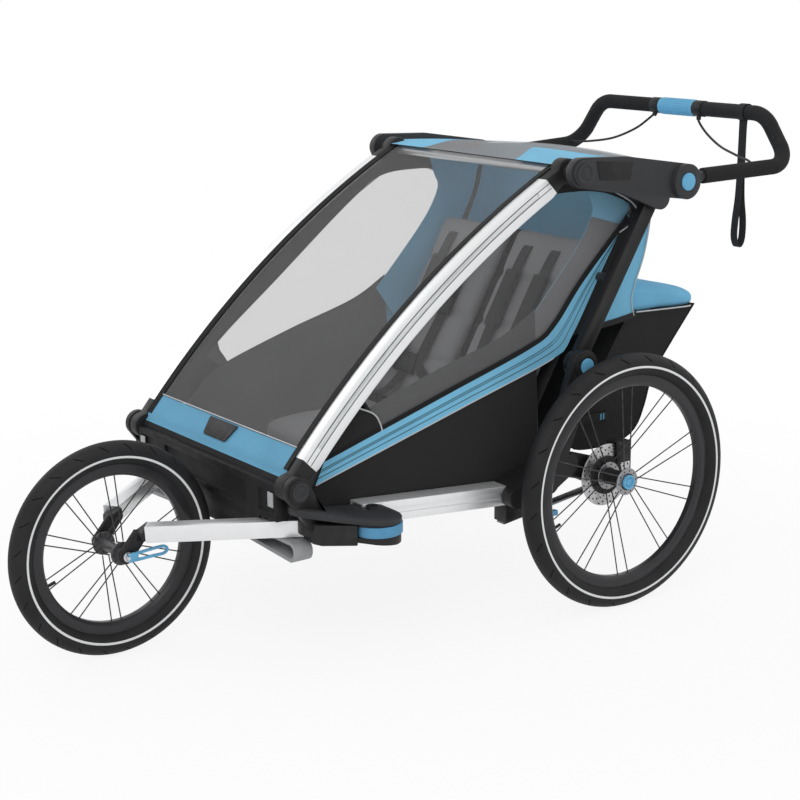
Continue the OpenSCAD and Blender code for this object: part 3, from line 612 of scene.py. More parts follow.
def hood(name, sign):
    """A moulded hood: its outline in plan, drawn up, domed, and raised towards the knuckle."""
    outline = [(261, -690), (272, -701), (286, -706), (300, -699), (312, -682)]
    for turn in steps(-38, 90, 12):
        angle = math.radians(turn)
        outline.append((LATCH_MIDDLE[0] + LATCH_R * math.cos(angle),
                        LATCH_MIDDLE[1] + LATCH_R * math.sin(angle)))
    outline.append((259, -516.4))
    piece = flat_shape(name, [(sign * x, y, HOOD_Z) for x, y in outline])
    extrude(0, 0, 7)
    bpy.ops.mesh.inset(thickness=0.005, depth=0.003)
    bpy.ops.mesh.inset(thickness=0.009, depth=0.0015)
    turn_outwards()
    for y in steps(-696, -526, 17):
        select_all()
        bpy.ops.mesh.bisect(plane_co=place(0, y, 0), plane_no=(0, 1, 0))
    object_mode()
    for vertex in piece.data.vertices:
        x, y, z = from_axle(vertex.co)
        ahead = clamped((-556 - y) / 150)
        vertex.co.z += 0.029 * ahead ** 1.6 * (1.0 if z > HOOD_Z + 0.5 else 0.8)
    round_edges(piece, 1.2, 3, 30)
    return finish(piece, "frame", dark)


def wing_wall(name, sign):
    """The upright wall under the hood, between the arm's entry and the latch."""
    outline = [(262, -664), (300, -668), (318, -662), (355, -610), (262, -610)]
    piece = flat_shape(name, [(sign * x, y, 239) for x, y in outline])
    extrude(0, 0, 38)
    turn_outwards()
    object_mode()
    round_edges(piece, 2.5, 3, 30)
    return finish(piece, "frame", casting)


for side, sign in SIDES:
    node = "wing_" + side
    wing_wall("wing_wall_" + side, sign)
    wing = copy_of(node, node + "_shell")
    for vertex in wing.data.vertices:
        x, y, z = from_axle(vertex.co)
        if y < -631 and abs(x) > LOBE_OUT - 0.6:
            vertex.co.x -= sign * (LOBE_OUT - KNUCKLE_OUT) / 1000
        if abs(x) > 286 and z > 300 and math.hypot(y - FOOT.x, z - FOOT.y) < 31:
            vertex.co = place(vertex.co.x * 1000, FOOT.x + (y - FOOT.x) * KNUCKLE_SHARE,
                              FOOT.y + (z - FOOT.y) * KNUCKLE_SHARE)
    round_edges(wing, 2.0)
    finish(wing, "frame", casting, node)
    hood("wing_hood_" + side, sign)

# Frame lines that the cloth follows: the bowed pillars, from foot to top, in millimetres
TOP = Vector((-80.0, 842.0))
BOW = 41.0
chord = TOP - FOOT
BOW_R = (chord.length_squared / 4 + BOW * BOW) / (2 * BOW)
bow_out = Vector((-chord.y, chord.x)).normalized()
bow_centre = (FOOT + TOP) / 2 - bow_out * (BOW_R - BOW)
bow_low = math.atan2(FOOT.y - bow_centre.y, FOOT.x - bow_centre.x)
BOW_L = 2 * math.asin(chord.length / 2 / BOW_R) * BOW_R


def on_bow(s, out):
    """The height line of the pillars: y and z at a length from the foot, and a distance outwards."""
    angle = bow_low - s / BOW_R
    return (bow_centre.x + (BOW_R + out) * math.cos(angle), bow_centre.y + (BOW_R + out) * math.sin(angle))


def along_bow(point):
    """The way back: a place's length from the foot, and its distance outwards."""
    x, y, z = from_axle(point)
    spot = Vector((y, z)) - bow_centre
    return (bow_low - math.atan2(spot.y, spot.x)) * BOW_R, spot.length - BOW_R


RAIL_Y = -435.0
RAIL_Z = 262.0
RAIL_SLOPE = 0.0785


def rail_z(y):
    """The base rails' height at a place along them; they fall to the rear."""
    return RAIL_Z - (y - RAIL_Y) * RAIL_SLOPE


def cloth_sheet(name, rows, paint=None, thickness=1.0):
    """A sheet through rows of points in millimetres, with a UV map in metres, and its flat size.
    paint gives each face's material by its row and column."""
    points = [[place(*p) for p in row] for row in rows]
    wide = len(points[0])
    mesh = bpy.data.meshes.new(name)
    faces = [(r * wide + c, r * wide + c + 1, (r + 1) * wide + c + 1, (r + 1) * wide + c)
             for r in range(len(points) - 1) for c in range(wide - 1)]
    mesh.from_pydata([p for row in points for p in row], [], faces)
    along = [[path_length(row[:i + 1]) for i in range(wide)] for row in points]
    across = [[path_length([row[c] for row in points[:r + 1]]) for c in range(wide)]
              for r in range(len(points))]
    layer = mesh.uv_layers.new(name="cut")
    for face in mesh.polygons:
        if paint:
            face.material_index = paint(face.index // (wide - 1), face.index % (wide - 1))
        for corner in face.loop_indices:
            r, c = divmod(mesh.loops[corner].vertex_index, wide)
            layer.data[corner].uv = (along[r][c] - along[r][-1] / 2, across[r][c])
    piece = bpy.data.objects.new(name, mesh)
    scene.collection.objects.link(piece)
    area = sum(face.area for face in mesh.polygons)
    long = max(row[-1] for row in along)
    broad = min(max(across[-1]), area / long / 0.5)
    cut = {"flat": (max(long, 0.03), broad), "area": min(area, long * broad)}
    only(piece)
    if thickness:
        modify(piece, "SOLIDIFY", thickness=thickness / 1000, offset=0.0)
    smooth(50)
    return piece, cut


def sewn(name, rows, body, materials, stands_for=(), paint=None, thickness=1.0):
    """A finished sheet of cloth, and what it rests on."""
    piece, cut = cloth_sheet(name, rows, paint, thickness)
    finish(piece, body, materials, stands_for)
    return piece


def ruled(edge_a, edge_b, along, across, out=None):
    """Rows of points from one edge line to another."""
    a = even_path(edge_a, along)
    b = even_path(edge_b, along)
    rows = []
    for k in range(across + 1):
        t = k / across
        row = [p.lerp(q, t) for p, q in zip(a, b)]
        if out:
            row = [Vector((p.x + out(i / (along - 1), t), p.y, p.z)) for i, p in enumerate(row)]
        rows.append(row)
    return rows


def tube(name, points, radius, material, body, sides=3, stands_for=()):
    """A finished round cord, seam or rod along points in millimetres, as a mesh."""
    only(wire(name, points, radius, sides))
    bpy.ops.object.convert(target="MESH")
    bpy.ops.object.shade_smooth()
    return finish(bpy.context.object, body, material, stands_for)


def at_side(sign, x, pairs):
    return [(sign * x, y, z) for y, z in pairs]


def strap(name, points, width, thick, across, body="frame", stands_for=()):
    """Flat webbing along points in millimetres, its width along a direction."""
    flat = Vector(across).normalized() * width / 2
    rows = [[Vector(p) + flat * k for p in points] for k in (-1, -0.5, 0, 0.5, 1)]
    return sewn(name, rows, body, webbing, stands_for, None, thick)


def block(name, size, corner, segments, rise=0.0):
    """A rounded block round the origin, in millimetres; rise lifts the top of its front edge."""
    piece = shape(bpy.ops.mesh.primitive_cube_add, name, size=1)
    bpy.ops.transform.resize(value=[v / 1000 for v in size])
    apply_place()
    for vertex in piece.data.vertices:
        if vertex.co.z > 0 and vertex.co.y < 0:
            vertex.co.z += rise / 1000
    modify(piece, "BEVEL", width=corner / 1000, segments=segments)
    return piece


def set_down(piece, middle, tilt):
    """Tilts a piece about its middle and moves it to its place."""
    piece.data.transform(Matrix.Translation(place(*middle)) @ Matrix.Rotation(tilt, 4, "X"))


def soft_block(name, size, middle, tilt, corner, body, material):
    """A small finished block, moulded or padded, with full edges."""
    piece = block(name, size, corner, 4)
    set_down(piece, middle, tilt)
    smooth(40)
    return finish(piece, body, material)


def crumple(piece):
    """Gives a piece of cloth a mesh of its own."""
    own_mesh(piece)


# Front cover: one taut sheet over the pillars, with black binding and a blue foot band
COVER_HALF = 257.0
BAND_TOP = 66.0
cover_s = [22, 34, 48, 60, BAND_TOP] + steps(70, 770, 28) + [BOW_L - 14, BOW_L - 2]
cover_x = [-COVER_HALF, -241] + steps(-232, 232, 24) + [241, COVER_HALF]
cover_rows = [[(x, y, z) for x in cover_x] for y, z in ((-703, 344.5), (-697, 353), (-692, 359))]
for s in cover_s:
    row = []
    for x in cover_x:
        dip = 3.0 * (1 - (x / COVER_HALF) ** 2) * math.sin(math.pi * min(s / BOW_L, 1.0))
        y, z = on_bow(s, 13.5 - dip)
        row.append((x, y, z))
    cover_rows.append(row)


def cover_paint(row, column):
    if row < 1 or (column in (0, len(cover_x) - 2) and row > 6):
        return 1
    return 2 if row < 7 else 0


sewn("cover_sheet", cover_rows, "pillars", [cover_mesh, binding, blue_cloth],
     "front_cover", cover_paint, 0)
hem_s = steps(24, BOW_L - 8, 40)
for side, sign in SIDES:
    edge_in = [(sign * 245, *on_bow(s, 14.4)) for s in hem_s]
    edge_out = [(sign * 259.5, *on_bow(s, 16.2)) for s in hem_s]
    sewn("cover_hem_" + side, ruled(edge_in, edge_out, 41, 4), "pillars", binding,
         thickness=1.2)
line = [(x, *on_bow(BAND_TOP + 2, 14.5)) for x in steps(-246, 246, 24)]
tube("cover_piping", line, 1.2, piping_cord, "pillars")

plate_rows = []
for s, half in ((27, 38), (30, 40), (60, 49), (63, 49)):
    y, z = on_bow(s, 14.8 if s in (27, 63) else 16.2)
    plate_rows.append([(x, y, z) for x in steps(-half, half, 10)])
band_plate = cloth_sheet("band_plate", plate_rows, None, 1.4)[0]
finish(band_plate, "pillars", black)

# Roof: one arched sheet, blue at the sides, dark mesh in the middle
ROOF_HALF = 307.0
ROOF_RISE = 16.0
ROOF_SLOPE = math.tan(math.radians(5.3))
ROOF_Y = -50.0
ROOF_Z = 858.0
ROOF_SUNK = 1.5
ARCH_HALF = 308.0
ARCH_R = (ARCH_HALF ** 2 + ROOF_RISE ** 2) / (2 * ROOF_RISE)


def roof_z(x, y):
    """The roof cloth's height: an arch from side to side that falls to the rear."""
    side_z = ROOF_Z - (y - ROOF_Y) * ROOF_SLOPE
    return side_z + ROOF_RISE - ARCH_R + math.sqrt(ARCH_R ** 2 - x * x) - ROOF_SUNK


ROOF_LIP = -103.0
LIP_Z = 854.0
roof_edge_line = smooth_path([(-103, 152), (-50, 128), (0, 98), (30, 132), (61, 202), (100, 222),
                              (150, 228)], 6)


def roof_inner(y):
    for (y0, x0), (y1, x1) in zip(roof_edge_line, roof_edge_line[1:]):
        if y0 <= y <= y1:
            return x0 + (x1 - x0) * (y - y0) / (y1 - y0)
    return roof_edge_line[-1][1]


roof_rows = []
for y in [ROOF_LIP, ROOF_LIP + 4] + steps(ROOF_LIP + 10, 150, 28):
    half = roof_inner(y)
    reach = ROOF_HALF if y > -50 else ROOF_HALF - 49 * min((-50 - y) / 20, 1.0)
    xs = steps(-reach, -half, 8) + steps(-half, half, 14)[1:] + steps(half, reach, 8)[1:]
    settle = 1 - clamped((y - ROOF_LIP) / 80)
    lip = settle * settle * (3 - 2 * settle)
    roof_rows.append([(x, y, roof_z(x, y) * (1 - lip) + LIP_Z * lip) for x in xs])


def roof_paint(row, column):
    if row < 1:
        return 2
    return 0 if column < 8 or column >= 22 else 1


# The roof's blue sides take the lighter blue: painted light.
roof = sewn("roof_sheet", roof_rows, None, [painted_lit_cloth, roof_mesh, binding],
            "roof", roof_paint, 1.2)
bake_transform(roof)

# Sides: black panel, blue band, mesh window with its black border
band_low = smooth_path([(-631, 328), (-301, 421), (-85, 483), (-40, 520), (40, 650), (100, 742)], 8)
band_high = smooth_path([(-612, 368), (-345, 448), (-141, 510), (-82, 544), (-14, 622), (88, 720),
                         (104, 735)], 8)
trim_high = smooth_path([(-609, 377), (-348, 457), (-145, 519), (-90, 551), (-22, 629), (81, 728),
                         (96, 743)], 8)
pillar_line = [on_bow(s, 4) for s in steps(58, BOW_L - 10, 40)] + [(-40, 848), (40, 842), (146, 833)]
window_front = smooth_path([(-487, 405), (-492, 421), (-508, 441), (-560, 463)], 4)
window_top = smooth_path([(-560, 463), (-500, 515), (-389, 601), (-253, 709), (-173, 768), (-149, 784),
                          (-103, 796), (-44, 798), (0, 796), (49, 787), (99, 766), (110, 749)], 6)
window_low = smooth_path([(-487, 405), (-354, 446), (-210, 483), (-121, 514), (-80, 537), (-44, 593),
                          (47, 684), (95, 724), (110, 749)], 6)
panel_top = [p for p in even_path([(y, z, 0) for y, z in band_low], 120) if p.x < -121]
WALL_X = 252.5
BAND_BEND = -82.0
BAND_POINTS = 61
for side, sign in SIDES:
    top_edge = [(sign * WALL_X, p.x, p.y) for p in panel_top]
    low_edge = [(sign * WALL_X, y, rail_z(y) + 4) for y in steps(-684, -121, 40)]
    bulged = ruled(low_edge, top_edge, 41, 10,
                   lambda i, t: sign * 3.0 * math.sin(math.pi * t) * math.sin(math.pi * i))
    wall = sewn("wall_" + side, bulged, "frame", black_cloth,
                "side_wall_" + side, thickness=1.4)
    low_line, high_line, trim_line = [even_path(at_side(sign, WALL_X + 1.2, edge), BAND_POINTS)
                                      for edge in (band_low, band_high, trim_high)]
    bend = len([spot for spot in low_line if spot.y < BAND_BEND])
    for part, first, last in (("", 0, bend + 1), ("rise_", bend, BAND_POINTS)):
        low = low_line[first:last]
        high = high_line[first:last]
        # The band takes the lighter blue: painted light.
        band = sewn("band_" + part + side, ruled(low, high, last - first, 6), "frame",
                    painted_lit_cloth)
        trim_rows = ruled(high, trim_line[first:last], last - first, 1)
        trim = cloth_sheet("trim_" + part + side, trim_rows, None, 1.4)[0]
        trimmed = [band, finish(trim, "frame", binding)]
        for number, share in enumerate((0.3, 0.56, 0.66)):
            seam = [a.lerp(b, share) + Vector((sign * 0.8, 0, 0)) for a, b in zip(low, high)]
            trimmed.append(tube("band_seam_%s%s_%d" % (part, side, number), seam, 0.4 if part else 0.6,
                                binding, "frame", 1))
        if part:
            for piece in trimmed:
                crumple(piece)
    piped = [spot for spot in band_low if spot[0] < BAND_BEND]
    tube("band_piping_" + side, at_side(sign, WALL_X + 2.0, piped), 1.1, piping_cord, "frame")
    pane_rows = ruled(at_side(sign, WALL_X, window_low), at_side(sign, WALL_X, window_top), 61, 16)
    pane = sewn("window_" + side, pane_rows, "frame", window_mesh,
                "side_window_" + side, thickness=0)
    window_edge = [(-612, 374)] + window_front + window_top[1:]
    border_rows = ruled(at_side(sign, WALL_X + 0.6, window_edge), at_side(sign, WALL_X + 0.6, pillar_line),
                        61, 4)
    border = sewn("window_border_" + side, border_rows, "frame", black_cloth)
    flap = tube("flap_piping_" + side, at_side(sign, WALL_X + 1.6, window_front), 1.5, piping_cord,
                "frame")
    for soft in (pane, border, flap):
        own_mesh(soft)

# Lining inside the windows: grey below, blue at the back
REAR_COLUMNS = 30
REAR_GREY = 22
LINING_X = 247.0
lining_top = smooth_path([(-640, 350), (-590, 395), (-538, 438), (-370, 494), (-211, 539), (-128, 582)], 6)
rear_front = smooth_path([(-150, 556), (-93, 614), (-20, 695), (14, 755), (4, 786), (-10, 832)], 6)
rear_back = smooth_path([(-98, 480), (-30, 540), (50, 640), (104, 730), (122, 790), (134, 830)], 6)
for side, sign in SIDES:
    low_edge = [(sign * 248, y, rail_z(y) + 6) for y in steps(-664, -112, 30)]
    lining = sewn("lining_" + side, ruled(low_edge, at_side(sign, LINING_X, lining_top), 31, 8), "frame",
                  lining_cloth)
    crumple(lining)
    rear_rows = ruled(at_side(sign, LINING_X, rear_front), at_side(sign, LINING_X, rear_back),
                      REAR_COLUMNS + 1, 6)
    # The rear lining's blue is the lighter blue: painted light.
    rear = sewn("rear_lining_" + side, rear_rows, "frame", [painted_lit_cloth, seat_side_cloth])
    for face in rear.data.polygons:
        column = face.index % REAR_COLUMNS
        face.material_index = 1 if face.normal.x * sign > 0.5 and column < REAR_GREY else 0
    crumple(rear)

# Back panel
BACK_HALF = 245.0
back_side = [(127, 539), (120, 572), (130, 606), (152, 662), (166, 735), (163, 780), (148, 835)]
back_rows = []
for y, z in even_path(smooth_path(back_side, 6), 25):
    up = clamped((z - 770) / 65)
    back_rows.append([(x, y + 5 * (1 - (x / BACK_HALF) ** 4), z + up * (roof_z(x, y) - 3 - 835))
                      for x in steps(-BACK_HALF, BACK_HALF, 24)])
# The back panel takes the lighter blue: painted light.
back = sewn("back_sheet", back_rows, "frame", painted_lit_cloth,
            "back_panel", thickness=1.4)
crumple(back)

# Wheels, standing on the ground: tyres with a pale side stripe and cut nicks, and hubs by their finishes
REAR_R = 250.0
FRONT_R = 199.5
FRONT_Y = -905.0
WHEELS = (("rear_%s_left", 369.0, 0.0, REAR_R, "rear_wheel_left"),
          ("rear_%s_right", -369.0, 0.0, REAR_R, "rear_wheel_right"),
          ("front_%s", 0.0, FRONT_Y, FRONT_R, "front_wheel"))
TYRE_R = 22.0
TYRE_FACES = 288
NICK_EVERY = 12
NICK_SLANT = 1.4


def reach_of(face, axle):
    """A face's distance from an axle, in millimetres."""
    return math.hypot(face.center.y - axle.y, face.center.z - axle.z) * 1000


def turn_of(face, axle):
    """A face's place round an axle, in turns."""
    return math.atan2(face.center.z - axle.z, face.center.y - axle.y) / (2 * math.pi)


def around(face, axle, count):
    """Which of the even sectors round an axle a face lies in."""
    return int((turn_of(face, axle) + 1) * count + 0.01) % count


def tyre_rubber(name, axle, stripe_r):
    """Black rubber with a pale reflecting stripe round each side, centred on the axle."""
    material, tree, shader, where = blank(name)
    axes = split(tree, where["Object"])
    dy = calc(tree, "SUBTRACT", axes[1], axle.y)
    dz = calc(tree, "SUBTRACT", axes[2], axle.z)
    square = calc(tree, "ADD", calc(tree, "MULTIPLY", dy, dy), calc(tree, "MULTIPLY", dz, dz))
    off = calc(tree, "ABSOLUTE", calc(tree, "SUBTRACT", calc(tree, "SQRT", square), stripe_r / 1000))
    stripe = calc(tree, "SUBTRACT", 1.0, ramp(tree, off, 0.0018, 0.0024))
    grain_out = use(tree, GRAIN, Vector=where["Object"], Fineness=500.0)
    rubber = between(tree, grain_out["Shade"], (0.015, 0.015, 0.016), (0.023, 0.023, 0.025))
    dress(tree, shader, {"Base Color": between(tree, stripe, rubber, (0.78, 0.79, 0.8)),
                         "Roughness": ramp(tree, stripe, 0.0, 1.0, 0.62, 0.4), "Specular IOR Level": 0.2})
    bump(tree, shader, grain_out["Height"], 0.12, 0.0003)
    return material


rear_rubber = tyre_rubber("rear_tyre_rubber", place(0, 0, REAR_R), 226.3)
front_rubber = tyre_rubber("front_tyre_rubber", place(0, FRONT_Y, FRONT_R), 173.3)
# Near-black for the faces of the tyre's nicks: painted shade in the cuts.
painted_shade_groove_rubber = moulded("painted_shade_groove_rubber", (0.003, 0.003, 0.003), 0.8, 500.0)


def nicked(face, axle, ring_r):
    """Whether a face of the tyre's shoulders gets a nick; the two sides' nicks are half a spacing apart."""
    shift = NICK_EVERY // 2 if face.center.x > axle.x else 0
    number = int(turn_of(face, axle) * TYRE_FACES + TYRE_FACES + shift)
    return 7 < reach_of(face, axle) - ring_r < 19 and number % NICK_EVERY == 0


for pattern, x, y, r, body in WHEELS:
    node = pattern % "tyre"
    axle = place(x, y, r)
    tyre = shape(bpy.ops.mesh.primitive_torus_add, node + "_rubber", major_segments=TYRE_FACES,
                 minor_segments=36, major_radius=(r - TYRE_R) / 1000, minor_radius=TYRE_R / 1000,
                 location=axle, rotation=(0, math.pi / 2, 0))
    pick(tyre, lambda face: nicked(face, axle, r - TYRE_R))
    bpy.ops.mesh.inset(thickness=0.0009)
    bpy.ops.mesh.inset(thickness=0.0004, depth=-0.0016)
    object_mode()
    # The nicks' faces take the near-black: painted shade.
    for face in tyre.data.polygons:
        face.material_index = 1 if face.select else 0
    for vertex in tyre.data.vertices:
        offset = vertex.co - axle
        radius = math.hypot(offset.y, offset.z)
        turn = math.atan2(offset.z, offset.y) + NICK_SLANT * (radius * 1000 - r) / r
        vertex.co.y = axle.y + radius * math.cos(turn)
        vertex.co.z = axle.z + radius * math.sin(turn)
    smooth(40)
    rubber = front_rubber if node == "front_tyre" else rear_rubber
    finish(tyre, body, [rubber, painted_shade_groove_rubber], node)

spoke_coat = moulded("spoke_coating", (0.03, 0.03, 0.032), 0.4, 1500.0)
rotor_steel = drawn_metal("rotor_steel", (0.5, 0.5, 0.51), 0.32, (500.0, 60.0, 500.0))
hub_alloy = drawn_metal("hub_alloy", (0.3, 0.3, 0.31), 0.36, (500.0, 60.0, 500.0))
hub_coat = moulded("hub_coating", (0.075, 0.075, 0.08), 0.42, 1200.0)


def turned(name, sign, x, y, z, profile, vertices=40):
    """A turned piece on a side-to-side axle: steps along it, each an offset from x and a radius."""
    piece = shape(bpy.ops.mesh.primitive_circle_add, name, vertices=vertices, radius=profile[0][1] / 1000,
                  fill_type="NGON", location=place(sign * (x + profile[0][0]), y, z),
                  rotation=(0, sign * math.pi / 2, 0))
    edit_mode()
    select_all()
    for (a, radius_a), (b, radius_b) in zip(profile, profile[1:]):
        share = radius_b / radius_a
        extrude(sign * (b - a), 0, 0)
        bpy.ops.transform.resize(value=(1, share, share), center_override=place(sign * (x + b), y, z))
    turn_outwards()
    object_mode()
    return piece


def bore_faces(piece, chosen, thickness, depth, material_index):
    """Sinks small recesses into the chosen faces and paints their floors with a slot; a darker slot there is
    painted shade in the holes.
    """
    pick(piece, chosen)
    bpy.ops.mesh.inset(thickness=thickness / 1000, use_individual=True)
    bpy.ops.mesh.inset(thickness=0.0002, depth=-depth / 1000, use_individual=True)
    object_mode()
    for face in piece.data.polygons:
        if face.select:
            face.material_index = material_index


def flat_side(face):
    return abs(face.normal.x) > 0.9 and len(face.vertices) == 4


REAR_HUB = [(-103, 7.9), (-58, 7.9), (-58, 17), (-53.6, 17), (-53.6, 37), (-52.8, 38), (-50.2, 38),
            (-49.4, 37), (-49.4, 27), (-48.6, 27.4), (-45.8, 27.4), (-45.2, 26.6), (-45.2, 24),
            (-45.2, 20.4), (-45.2, 17), (-40, 15.5), (-4, 15.5), (1, 18), (3.4, 18), (3.4, 26), (4, 26.6),
            (6.4, 26.6), (7, 26), (7, 23.4), (7, 19.8), (7, 17), (8.6, 16.4), (8.6, 14.6), (7.4, 14.4),
            (7.4, 1)]
FRONT_HUB = [(-44, 5.5), (-44, 12), (-42, 13), (-38, 13), (-38, 21), (-37.4, 21.6), (-34.6, 21.6),
             (-34, 21), (-34, 12), (-28, 10.5), (28, 10.5), (34, 12), (34, 21), (34.6, 21.6), (37.4, 21.6),
             (38, 21), (38, 18.6), (38, 15.2), (38, 13), (42, 13), (44, 12), (44, 5.5)]
ROTOR_RINGS = (36, 40, 44, 48, 52, 56, 60)
ROTOR = ([(-56, ring) for ring in ROTOR_RINGS] + [(-55.7, 61.6), (-54.1, 61.6)]
         + [(-53.8, ring) for ring in reversed(ROTOR_RINGS)])
for pattern, x, y, r, body in WHEELS:
    node = pattern % "hub"
    axle = place(x, y, r)
    rear_wheel = "rear" in node
    sign = -1 if x < 0 else 1
    flange = 27.5 if rear_wheel else 24.5
    hole_from, hole_to = (19, 24) if rear_wheel else (15, 18.7)
    hub = copy_of(node, node + "_spokes")

    def of_core(face):
        """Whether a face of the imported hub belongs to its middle, and not to a spoke."""
        corners = [hub.data.vertices[i].co for i in face.vertices]
        reach = max(math.hypot(c.y - axle.y, c.z - axle.z) for c in corners) * 1000
        return reach < flange or (rear_wheel and abs(face.center.x) * 1000 < 316)

    def spoke_hole(face):
        return (flat_side(face) and hole_from < reach_of(face, axle) < hole_to
                and abs(face.center.x) * 1000 - abs(x) > -47.5 and around(face, axle, 40) % 4 == 0)

    def rotor_hole(face):
        ring = int(reach_of(face, axle) / 4)
        return (flat_side(face) and 40 < reach_of(face, axle) < 60
                and (around(face, axle, 72) + 2 * ring) % 6 == 0)

    pick(hub, of_core)
    bpy.ops.mesh.delete(type="FACE")
    object_mode()
    round_edges(hub, 0)
    finish(hub, body, spoke_coat, node)
    core = turned(node + "_core", sign, abs(x), y, r, REAR_HUB if rear_wheel else FRONT_HUB)
    for face in core.data.polygons:
        off = abs(face.center.x) * 1000 - abs(x)
        flange_part = reach_of(face, axle) > 16.2 and (off > 3 or -49 < off < -44)
        face.material_index = 0 if rear_wheel and flange_part else 1
    # Spoke holes: on the rear hubs their floors are black, painted shade in the holes.
    bore_faces(core, spoke_hole, 0.25, 1.6, 1)
    round_edges(core, 0)
    finish(core, body, [hub_alloy, casting if rear_wheel else hub_coat])
    if rear_wheel:
        rotor = turned(node.replace("hub", "rotor"), sign, abs(x), y, r, ROTOR, 72)
        # Rotor holes: black floors, painted shade in the holes.
        bore_faces(rotor, rotor_hole, 0.3, 0.9, 1)
        round_edges(rotor, 0)
        finish(rotor, body, [rotor_steel, casting])

# Pillars and jog arms: silver tubes with black ends
SILVER_FROM = 50.0
INNER_LIP = 9.0
FORK_OUT = 81.0
SILVER_TO = BOW_L - 48.0
for side, sign in SIDES:
    node = "pillar_" + side
    pillar = copy_of(node, node + "_finished")
    for vertex in pillar.data.vertices:
        s, out = along_bow(vertex.co)
        if out < -13 and SILVER_FROM < s < SILVER_TO:
            vertex.co = place(vertex.co.x * 1000, *on_bow(s, out - INNER_LIP))
    only(pillar)
    edit_mode()
    for s in (SILVER_FROM, SILVER_TO):
        select_all()
        ahead = Vector(on_bow(s + 1, 0)) - Vector(on_bow(s - 1, 0))
        bpy.ops.mesh.bisect(plane_co=place(0, *on_bow(s, 0)), plane_no=(0, ahead.x, ahead.y))
    object_mode()
    for face in pillar.data.polygons:
        s, out = along_bow(face.center)
        if not SILVER_FROM < s < SILVER_TO:
            face.material_index = 1
    round_edges(pillar, 1.6)
    finish(pillar, "pillars", [silver, casting], node)
    # Thin black lines along the edges of the pillar's groove: painted shade.
    for number, out in enumerate((-5.4, 5.4)):
        line = [(sign * 284.0, *on_bow(s, out)) for s in steps(SILVER_FROM + 1, SILVER_TO - 1, 40)]
        tube("pillar_line_%s_%d" % (side, number), line, 0.7, binding, "pillars", 1)

    node = "jog_arm_" + side
    arm = copy_of(node, node + "_finished")
    fork = copy_of(node, "fork_end_" + side)
    for piece, keeps_fork in ((fork, True), (arm, False)):
        pick(piece, lambda face: (abs(face.center.x) * 1000 < FORK_OUT) != keeps_fork)
        bpy.ops.mesh.delete(type="FACE")
        select_all()
        bpy.ops.mesh.fill_holes(sides=0)
        object_mode()
    for vertex in fork.data.vertices:
        x, y, z = from_axle(vertex.co)
        if z > 250 and y < -878:
            vertex.co.z -= 0.014
        if z < 230 and y > -862:
            vertex.co.z += 0.007
    modify(fork, "REMESH", mode="VOXEL", voxel_size=0.0015)
    modify(fork, "SMOOTH", factor=0.5, iterations=40)
    bpy.ops.object.shade_smooth()
    finish(fork, "frame", casting)
    round_edges(arm, 2.5)
    finish(arm, "frame", silver, node)

# Floor and seats
FLOOR_FRONT = -689.0
FLOOR_REAR = -112.0
FLOOR_HALF = 255.0
floor_rows = []
for y in steps(FLOOR_FRONT, FLOOR_REAR, 20):
    sag = 1.5 * math.sin(math.pi * (y - FLOOR_FRONT) / (FLOOR_REAR - FLOOR_FRONT))
    floor_rows.append([(x, y, rail_z(y) + 0.6 - sag * (1 - (x / FLOOR_HALF) ** 2))
                       for x in steps(-FLOOR_HALF, FLOOR_HALF, 16)])
sewn("floor_sheet", floor_rows, "frame", floor_cloth,
     "floor_pan", thickness=2.0)

LEAN = math.radians(30)
BACK_FOOT_Y = -192.0
BACK_FOOT_Z = 340.0
SEAT_X = 122.5
PRESSURE = 4.0
SWELL_FRAMES = 20


def on_back(x, y, z):
    """A point of the seat back's own frame: x across, y behind its front, z up its slope."""
    return (x, BACK_FOOT_Y + y * math.cos(LEAN) + z * math.sin(LEAN),
            BACK_FOOT_Z - y * math.sin(LEAN) + z * math.cos(LEAN))


def swell(piece, cap):
    """Blows a closed mesh up as stuffed cloth, with no point moving further than the cap, in millimetres."""
    start = [v.co.copy() for v in piece.data.vertices]
    skin = piece.modifiers.new("swell", "CLOTH")
    skin.settings.use_pressure = True
    skin.settings.uniform_pressure_force = PRESSURE
    skin.settings.effector_weights.gravity = 0.0
    for number in range(1, SWELL_FRAMES + 1):
        scene.frame_set(number)
    bpy.ops.object.modifier_apply(modifier=skin.name)
    for vertex, at in zip(piece.data.vertices, start):
        move = vertex.co - at
        if move.length > cap / 1000:
            vertex.co = at + move * (cap / 1000 / move.length)
    scene.frame_set(1)


def pad(name, size, middle, tilt, corner, cap, material, stands_for, channels=(), rise=0.0):
    """A stuffed pad: a rounded block swollen by cloth simulation, with sewn channels across its face.
    channels are heights along its z, on its front; rise lifts the top of its front edge."""
    piece = block(name, [v - cap for v in size], corner, 5, rise)
    modify(piece, "REMESH", mode="VOXEL", voxel_size=0.006)
    swell(piece, cap)
    for vertex in piece.data.vertices:
        if vertex.co.y < 0:
            for height in channels:
                off = (vertex.co.z * 1000 - height) / 7.0
                vertex.co.y += 0.006 * math.exp(-off * off)
    modify(piece, "SUBSURF", levels=1, render_levels=1)
    set_down(piece, middle, tilt)
    bpy.ops.object.shade_smooth()
    finish(piece, "frame", material, stands_for)
    return piece


def slump(piece):
    """Gives a piece of the seat back a mesh of its own."""
    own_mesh(piece)


for side, sign in SIDES:
    pad("seat_pad_" + side, (225, 265, 62), (sign * SEAT_X, -322.5, 297), math.atan2(18, 265), 20, 6,
        seat_cloth, "seat_base")
    slump(pad("back_pad_" + side, (225, 36, 425), on_back(sign * SEAT_X, 18, 212), -LEAN, 16, 5,
              seat_cloth, "seat_back", (-105, 0, 105)))
seat_rows = [[on_back(x, 41, z) for x in steps(-244, 244, 12)] for z in steps(-20, 424, 12)]
slump(sewn("seat_web", seat_rows, "frame", black_cloth,
           thickness=1.6))

